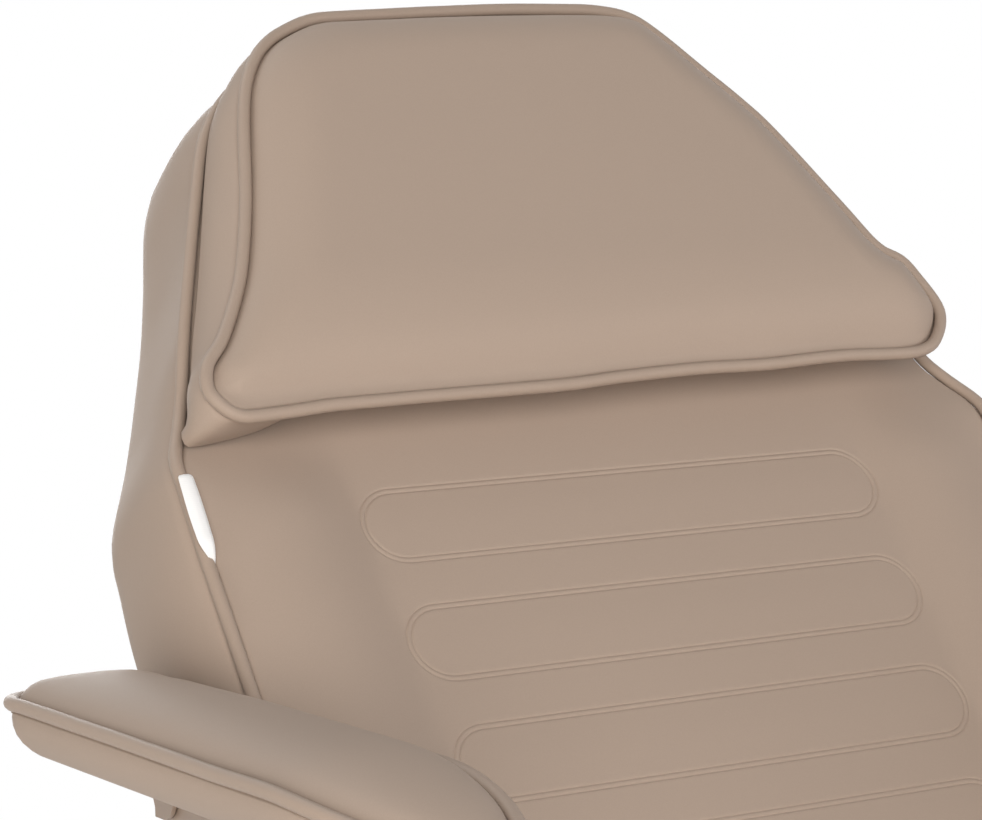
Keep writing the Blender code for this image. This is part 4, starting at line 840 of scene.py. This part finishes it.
def touchTape(name, colour, pileMm):
    # Woven polyamide tape with a pile of loops or hooks
    values = {"Roughness": 0.9, "Sheen Weight": 0.3, "Sheen Roughness": 0.5}
    made, tree, shader, place = newMaterial(name, values)
    pile = texture(tree, "Voronoi", place, {"Scale": 1000 / pileMm})["Distance"]
    tinted(tree, shader, colour, ranged(tree, pile, 0, 0.6, 1.0, 0.6))
    bumped(tree, shader, pile, 0.8, 0.0006)
    return made


def both(*names):
    # the left and the right node of each name
    return [f"{name}_{hand}" for name in names for hand in ("left", "right")]


plywood = birchPly()
finishes = {
    powderCoat: [
        "base_plate", "swivel_hub", "seat_cross_front", "seat_cross_middle", "seat_cross_rear",
        "back_cross_lower", "back_cross_upper", *both("seat_rail", "back_bracket", "leg_bracket"),
        *both("back_rail", "back_quadrant", "leg_rail", "leg_quadrant"),
    ],
    taupeCoat: ["arm_shaft", *both("arm_stand", "arm_bracket", "arm_link")],
    chromePlate: ["base_cover", "pump_housing", "ram", "pedal_lever", "swivel_lever"],
    groundSteel: ["thrust_washer", "back_clamp_rod", "leg_clamp_rod", "back_hinge_shaft", "leg_hinge_shaft"],
    zincPlate: ["pedal_pin", *both("link_pin", "arm_pin")],
    rubber: ["base_ring", "column_collar", "pedal_pad"],
    polyamide: ["ram_gland", "back_lever", "leg_lever"],
    plywood: ["seat_board", "leg_board"],
    touchTape("hook_tape_pile", "#8A7B6E", 1.2): ["hook_tape"],
    touchTape("loop_tape_pile", "#97887A", 0.9): ["loop_tape"],
}
for finish, names in finishes.items():
    for name in names:
        mesh = frame["nodes"][name].data
        mesh.materials.clear()
        mesh.materials.append(finish)


def soften(node, edge):
    # smooth curves and a small radius on the edges, as a plate has after deburring and coating
    mesh = node.data
    held = mesh.attributes.get("custom_normal")
    if held:
        mesh.attributes.remove(held)
    mesh.shade_smooth()
    mesh.set_sharp_from_angle(angle=edgeRadius["sharpest"])
    weld = node.modifiers.new("weld", "WELD")
    weld.merge_threshold = 0.00002
    bevel = node.modifiers.new("edge_radius", "BEVEL")
    bevel.width, bevel.segments = edge, 2
    bevel.limit_method, bevel.angle_limit = "ANGLE", edgeRadius["sharpest"]
    bevel.harden_normals = True


edgeRadius = {
    "sharpest": math.radians(32),
    "plates": 0.0007, "small": 0.0003,
    "smallNodes": [
        "thrust_washer", "pedal_pin", "ram", "back_clamp_rod", "leg_clamp_rod", *both("link_pin", "arm_pin"),
    ],
}
for names in finishes.values():
    for name in names:
        kind = "small" if name in edgeRadius["smallNodes"] else "plates"
        soften(frame["nodes"][name], edgeRadius[kind])
print("steelwork finished")


# Hardware and trims that the solids leave out


def joined(name, parts, material, body):
    # many small bodies as one piece: each part is a function that draws into the shape, and its place
    shape = bmesh.new()
    for draw, place in parts:
        before = len(shape.verts)
        draw(shape)
        shape.verts.ensure_lookup_table()
        bmesh.ops.transform(shape, matrix=place, verts=shape.verts[before:])
    newPiece(name, shape, material, body, crease=38)


def lathe(shape, profile, steps):
    # a turned body; a point of the profile on the axis closes it
    rings = []
    for radius, height in profile:
        points = circle(radius, height, 1 if radius < 1e-6 else steps)
        rings.append([shape.verts.new(point) for point in points])
    for a, b in zip(rings, rings[1:]):
        for k in range(steps):
            m = (k + 1) % steps
            corners = [a[k % len(a)], a[m % len(a)], b[m % len(b)], b[k % len(b)]]
            kept = [c for i, c in enumerate(corners) if c not in corners[:i]]
            if len(kept) > 2:
                shape.faces.new(kept)


def hexBolt(size):
    # washer, then a chamfered hexagon head of a bolt of this size, standing on the plane z = 0
    washer = [(0, 0), (1.12, 0), (1.15, 0.04), (1.15, 0.20), (1.08, 0.24), (0, 0.24)]
    head = [(0.90, 0.24), (0.90, 0.76), (0.792, 0.90)]

    def draw(shape):
        lathe(shape, [(radius * size, height * size) for radius, height in washer], 28)
        skin(shape, [circle(radius * size, height * size, 6) for radius, height in head])
    return draw


def panScrew(size):
    # low domed head with a recess
    profile = [
        (0, 0), (1, 0), (1, 0.18), (0.86, 0.42), (0.60, 0.55), (0.24, 0.60), (0.20, 0.30), (0, 0.26),
    ]

    def draw(shape):
        lathe(shape, [(radius * size, height * size) for radius, height in profile], 20)
    return draw


def weldBead(length, radius):
    # a run of overlapping ripples along x, lying in the corner of z = 0
    def draw(shape):
        count, sides = max(8, round(length / 0.0016)), 8
        rings = []
        for i in range(count + 1):
            x = -length / 2 + length * i / count
            ripple = 1 + 0.16 * math.cos(i * 2.1) + 0.06 * math.cos(i * 5.3)
            swell = radius * ripple * (0.45 if i in (0, count) else 1)
            rings.append([(x, across, up) for across, up, _ in circle(swell, 0, sides)])
        skin(shape, rings)
    return draw


def tubeCap(width):
    # ribbed plastic insert: only its domed square head shows, on the plane z = 0
    steps = ((0, 0), (0, 0.0014), (0.0012, 0.0026), (0.005, 0.0031))

    def draw(shape):
        rings = []
        for inset, height in steps:
            half = width / 2 - inset
            corners = [(-half, -half), (half, -half), (half, half), (-half, half)]
            loop = rounded(corners, [min(0.004, half * 0.6)] * 4, 4)
            rings.append([(p.x, p.y, height) for p in loop])
        skin(shape, rings)
    return draw


def staple(width):
    # crown of a staple pressed into the cover
    def draw(shape):
        bmesh.ops.create_cube(shape, size=1, matrix=Matrix.Diagonal((width, 0.0012, 0.0008, 1)))
    return draw


def facing(place, direction, spin=0.0):
    # z of the part looks along direction
    turn = Vector(direction).to_track_quat("Z", "Y").to_matrix().to_4x4()
    return Matrix.Translation(place) @ turn @ Matrix.Rotation(spin, 4, "Z")


def beads(name, runs, body, place=Matrix.Identity(4)):
    # weld beads between pairs of points
    parts = []
    for start, end in runs:
        start, end = Vector(start), Vector(end)
        turn = (end - start).to_track_quat("X", "Z").to_matrix().to_4x4()
        bead = weldBead((end - start).length, hardware["bead"])
        parts.append((bead, place @ Matrix.Translation((start + end) / 2) @ turn))
    joined(name, parts, powderCoat, body)


hemLook = {
    "out": 0.0085, "reach": 0.026,      # how far it stands out of the board and runs in under it
    "spacing": 0.006,
    "gathers": 0.0004, "gatherLength": 0.012,
    "stapleIn": 0.017, "staplePitch": 0.034, "stapleWidth": 0.010,
}


def hem(name, outline, top, foot, body, place=Matrix.Identity(4)):
    # the cover drawn round the board's edge and stapled underneath
    look = hemLook
    out, reach = look["out"], look["reach"]
    normals = outwards(outline)
    section = [
        (out, top), (out - 0.0008, foot + 0.004), (out - 0.004, foot - 0.0002), (0.0, foot - 0.0012),
        (-reach, foot - 0.0011), (-reach, foot - 0.0003), (0.0012, foot - 0.0002), (0.0012, top),
    ]
    lengths = np.arange(len(outline)) * look["spacing"]
    gathers = wander(np.column_stack([lengths, lengths * 0]), look["gatherLength"], 91) * look["gathers"]
    rings = []
    for point, normal, gather in zip(outline, normals, gathers):
        drops = [gather if height < top else 0 for _, height in section]
        rings.append([(*(point + normal * x), z - drop) for (x, z), drop in zip(section, drops)])
    shape = bmesh.new()
    skin(shape, rings, looped=True)
    newPiece(name, shape, leatherette, body, place, crease=60)
    line = evenly([tuple(p) for p in outline - normals * look["stapleIn"]], look["staplePitch"])
    along = np.roll(line, -1, 0) - np.roll(line, 1, 0)
    parts = []
    for p, t in zip(line, along):
        turn = Matrix.Rotation(math.atan2(t[1], t[0]), 4, "Z")
        parts.append((staple(look["stapleWidth"]), place @ Matrix.Translation((*p, foot - 0.0014)) @ turn))
    joined(name.replace("hem", "staples"), parts, zincPlate, body)


hardware = {
    "bead": 0.0016, "tube": 0.025, "woodScrew": 0.0055, "hubBolt": 0.008,
    "hubBolts": [(x, y) for x in (-0.100, 0.100) for y in (-0.055, 0.055)], "hubFace": 0.3919,
    "crossScrews": [(x, y) for y in (-0.190, 0.100) for x in (-0.160, 0.160)]
    + [(x, -0.0465) for x in (-0.260, -0.160, 0.160, 0.260)],
    # the seat's frame: rails under the cross tubes, whose faces are at these lengths
    "crossFoot": 0.4265, "seatRailX": 0.100, "seatRailMiddle": 0.4137, "seatRailEnds": (-0.2025, 0.1125),
    "crossFaces": (-0.1775, -0.059, -0.034, 0.0875),
    "railWeld": 0.0115, "endWeld": 0.011, "weldFoot": 0.428, "weldTop": 0.450,
    "plateX": 0.2106, "plateWelds": ((0.100, 0.1124), (-0.190, -0.2024)),
    "standX": 0.3173, "standWelds": (-0.059, -0.034),
    # the seat's hem: half the width of the board, its front and rear, and the hem's top and foot
    "boardX": 0.280, "boardFront": -0.290, "boardRear": 0.205, "boardCorner": 0.030,
    "seatHem": (0.4640, 0.4518),
    # the back's and the leg rest's rails, with the ends of their tubes and their screws
    "railX": 0.1925,
    "backRailRear": -0.0876, "backRailMiddle": -0.0751, "backRailEnds": (0.125, 0.605),
    "backScrews": (0.235, 0.36, 0.49),
    "backWeldX": 0.1796, "backCrosses": ((0.1605, 0.1855), (0.5541, 0.5791)),
    "legRailRear": -0.0125, "legRailEnds": (-0.402, -0.022), "legScrews": (-0.09, -0.21, -0.34),
    "legBoard": (-0.447, -0.0235), "legBoardIn": 0.0127, "legCorners": (0.068, 0.068, 0.018, 0.018),
    "legHem": (0.0252, 0.0128),
    "padScrews": (-0.265, -0.150, -0.035), "padFlange": 0.0247, "padScrewX": 0.360,
    "standWeld": ((0.3172, -0.058, 0.4515), (0.3172, -0.035, 0.4515)),
    "treadRibs": 7, "treadInset": 0.011,
}
down = (0, 0, -1)


def repeated(name, draw, places, material, body, within=Matrix.Identity(4)):
    # the same small part at several places
    joined(name, [(draw, within @ place) for place in places], material, body)


def tubeEnds(x, height, ends):
    # a pair of rails' ends, each looking out of its tube
    return [facing((side * x, y, height), (0, way, 0)) for side in (-1, 1) for y, way in zip(ends, (-1, 1))]


def railScrews(x, height, along):
    return [facing((side * x, y, height), down) for side in (-1, 1) for y in along]


def seatHardware():
    look = hardware
    runs = []
    for side in (-1, 1):
        inner, outer = look["seatRailX"] - look["railWeld"], look["seatRailX"] + look["railWeld"]
        foot = look["crossFoot"] - 0.0001
        runs += [((side * inner, y, foot), (side * outer, y, foot)) for y in look["crossFaces"]]
        x, foot = side * look["plateX"], look["crossFoot"] + 0.0001
        for middle, face in look["plateWelds"]:
            runs.append(((x, middle - look["endWeld"], foot), (x, middle + look["endWeld"], foot)))
            runs.append(((x, face, look["weldFoot"]), (x, face, look["weldTop"])))
        x = side * look["standX"]
        runs += [((x, y, look["weldFoot"]), (x, y, look["weldTop"])) for y in look["standWelds"]]
    beads("seat_frame_welds", runs, "seat")
    bolts = [facing((x, y, look["hubFace"]), down, 0.3 * i) for i, (x, y) in enumerate(look["hubBolts"])]
    repeated("hub_bolts", hexBolt(look["hubBolt"]), bolts, zincPlate, "seat")
    heads = [facing((x, y, look["crossFoot"]), down) for x, y in look["crossScrews"]]
    repeated("seat_board_screws", panScrew(look["woodScrew"]), heads, zincPlate, "seat")
    ends = tubeEnds(look["seatRailX"], look["seatRailMiddle"], look["seatRailEnds"])
    repeated("seat_rail_caps", tubeCap(look["tube"]), ends, polyamide, "seat")
    x, front, rear = look["boardX"], look["boardFront"], look["boardRear"]
    outline = rounded([(-x, front), (x, front), (x, rear), (-x, rear)], [look["boardCorner"]] * 4)
    hem("seat_hem", evenly(outline, hemLook["spacing"]), *look["seatHem"], "seat")


def backHardware():
    look = hardware
    place = placeMatrix(joints["recline"], Vector((1, 0, 0)), backUp, backOut)
    runs = []
    for side in (-1, 1):
        x = side * look["backWeldX"]
        for low, high in look["backCrosses"]:
            runs += [((x, y, -0.086), (x, y, -0.064)) for y in (low, high)]
            runs.append(((x, low + 0.001, -0.0872), (x, high - 0.001, -0.0872)))
    beads("back_frame_welds", runs, "back", place)
    ends = tubeEnds(look["railX"], look["backRailMiddle"], look["backRailEnds"])
    repeated("back_rail_caps", tubeCap(look["tube"]), ends, polyamide, "back", place)
    heads = railScrews(look["railX"], look["backRailRear"], look["backScrews"])
    repeated("back_board_screws", panScrew(look["woodScrew"]), heads, zincPlate, "back", place)


def legHardware():
    look = hardware
    ends = tubeEnds(look["railX"], 0, look["legRailEnds"])
    repeated("leg_rail_caps", tubeCap(look["tube"]), ends, polyamide, "leg", legFrame)
    heads = railScrews(look["railX"], look["legRailRear"], look["legScrews"])
    repeated("leg_board_screws", panScrew(look["woodScrew"]), heads, zincPlate, "leg", legFrame)
    wide, narrow = legLook["halfTop"] - look["legBoardIn"], legLook["halfFoot"] - look["legBoardIn"]
    foot, top = look["legBoard"]
    outline = rounded([(-narrow, foot), (narrow, foot), (wide, top), (-wide, top)], look["legCorners"])
    hem("leg_hem", evenly(outline, hemLook["spacing"]), *look["legHem"], "leg", legFrame)


def armHardware():
    look = hardware
    for side, hand in ((-1, "right"), (1, "left")):
        heads = [facing((side * look["padScrewX"], y, look["padFlange"]), down) for y in look["padScrews"]]
        head = panScrew(look["woodScrew"])
        repeated(f"arm_pad_{hand}_screws", head, heads, zincPlate, f"arm_{hand}", armFrame(hand))
        start, end = [(side * x, y, z) for x, y, z in look["standWeld"]]
        beads(f"arm_stand_{hand}_weld", [(start, end)], "seat")


def pedalTread():
    # ribs moulded on the pedal's rubber
    def rib(shape):
        turns = [math.pi * k / 8 for k in range(9)]
        rings = []
        for y, scale in ((-0.038, 0.5), (-0.0365, 1.0), (0.0365, 1.0), (0.038, 0.5)):
            rings.append([(0.0022 * math.cos(t) * scale, y, 0.0017 * math.sin(t) * scale) for t in turns])
        skin(shape, rings)
    low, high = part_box("pedal_pad")
    count, inset = hardware["treadRibs"], hardware["treadInset"]
    span = high[0] - low[0] - 2 * inset
    steps = [low[0] + inset + span * i / (count - 1) for i in range(count)]
    places = [Matrix.Translation((x, 0, high[2] - 0.0002)) for x in steps]
    repeated("pedal_tread", rib, places, rubber, "pedal")


seatHardware()
backHardware()
legHardware()
armHardware()
pedalTread()
print("hardware made")

# Studio: pale floor, soft light, and a camera at the photograph's angle

studio = {
    "camera": (-1.0927, -1.2104, 1.1884), "aim": (0.5129, 0.8493, -0.1248), "right": (0.8560, -0.5170, 0.0),
    "lensMm": 115.66, "sky": 0.15, "lampsAim": (0, 0, 0.6),
    "floor": "#E9E8E6", "floorRadius": 14,
    "fadeStart": 0.7, "fadeEnd": 3.2, "nearWhite": 0.55,      # the floor turns plain white over this way out
}
lamps = {
    "key_softbox": {"place": (-2.17, -3.46, 1.97), "size": 2.6, "power": 158, "colour": "#FFFAF4"},
    "side_softbox": {"place": (-2.5, -0.4, 0.35), "size": 1.8, "power": 19, "colour": "#FFFAF4"},
    "fill_softbox": {"place": (2.9, -2.2, 1.5), "size": 2.6, "power": 38, "colour": "#FBFBFF"},
    "top_softbox": {"place": (-0.8, 2.6, 3.9), "size": 2.4, "power": 42, "colour": "#FFFFFF"},
    "rear_softbox": {"place": (1.2, 3.4, 0.9), "size": 2.4, "power": 60, "colour": "#FFFFFF"},
}


def whiteRays(tree):
    # the camera, mirrors and clear plastics see plain white; the light on the object stays as it is
    ray = add(tree, "LightPath").outputs
    kinds = {0: ray["Is Camera Ray"], 1: ray["Is Transmission Ray"]}
    seen = add(tree, "Math", {}, kinds, operation="MAXIMUM").outputs[0]
    return add(tree, "Math", {}, {0: seen, 1: ray["Is Glossy Ray"]}, operation="MAXIMUM").outputs[0]


white = (1, 1, 1, 1)


def makeSky(scene):
    world = bpy.data.worlds.new("studio_sky")
    scene.world = world
    world.use_nodes = True
    tree = world.node_tree
    tree.nodes.clear()
    lit = add(tree, "Background", {"Color": white, "Strength": studio["sky"]})
    plain = add(tree, "Background", {"Color": white, "Strength": 1.0})
    kinds = {"Fac": whiteRays(tree), 1: lit.outputs[0], 2: plain.outputs[0]}
    mixed = add(tree, "MixShader", {}, kinds)
    add(tree, "OutputWorld", {}, {"Surface": mixed.outputs[0]})


def makeFloor(scene):
    floor = bpy.data.meshes.new("studio_floor")
    shape = bmesh.new()
    bmesh.ops.create_circle(shape, cap_ends=True, segments=96, radius=studio["floorRadius"])
    shape.to_mesh(floor)
    shape.free()
    piece = bpy.data.objects.new("studio_floor", floor)
    scene.collection.objects.link(piece)
    piece.location.z = -0.0004
    paper = bpy.data.materials.new("seamless_paper")
    paper.use_nodes = True
    floor.materials.append(paper)
    tree = paper.node_tree
    tree.nodes.clear()
    place = add(tree, "TexCoord").outputs["Object"]
    away = add(tree, "VectorMath", {}, {0: place}, operation="LENGTH").outputs["Value"]
    start, end = studio["fadeStart"], studio["fadeEnd"]
    fade = ranged(tree, away, start, end, studio["nearWhite"], 1.0, interpolation_type="SMOOTHSTEP")
    share = add(tree, "Math", {}, {0: whiteRays(tree), 1: fade}, operation="MULTIPLY")
    matt = add(tree, "BsdfDiffuse", {"Color": linear(studio["floor"])})
    plain = add(tree, "Emission", {"Color": white, "Strength": 1.0})
    kinds = {"Fac": share.outputs[0], 1: matt.outputs[0], 2: plain.outputs[0]}
    mixed = add(tree, "MixShader", {}, kinds)
    add(tree, "OutputMaterial", {}, {"Surface": mixed.outputs[0]})


def makeLamps(scene):
    for name, look in lamps.items():
        data = bpy.data.lights.new(name, "AREA")
        data.shape, data.size, data.energy = "DISK", look["size"], look["power"]
        data.color = linear(look["colour"])[:3]
        lamp = bpy.data.objects.new(name, data)
        scene.collection.objects.link(lamp)
        lamp.location = look["place"]
        aim = Vector(studio["lampsAim"]) - Vector(look["place"])
        lamp.rotation_euler = aim.to_track_quat("-Z", "Y").to_euler()


def makeCamera(scene):
    data = bpy.data.cameras.new("camera")
    data.sensor_width, data.lens = 36, studio["lensMm"]
    data.clip_start, data.clip_end = 0.05, 100
    camera = bpy.data.objects.new("camera", data)
    scene.collection.objects.link(camera)
    aim, right = Vector(studio["aim"]).normalized(), Vector(studio["right"])
    right = (right - aim * right.dot(aim)).normalized()
    up = right.cross(aim)
    camera.matrix_world = placeMatrix(Vector(studio["camera"]), right, up, -aim)
    scene.camera = camera


studioScene = bpy.context.scene
studioScene.view_settings.view_transform = "Standard"
makeSky(studioScene)
makeFloor(studioScene)
makeLamps(studioScene)
makeCamera(studioScene)
print("studio made")
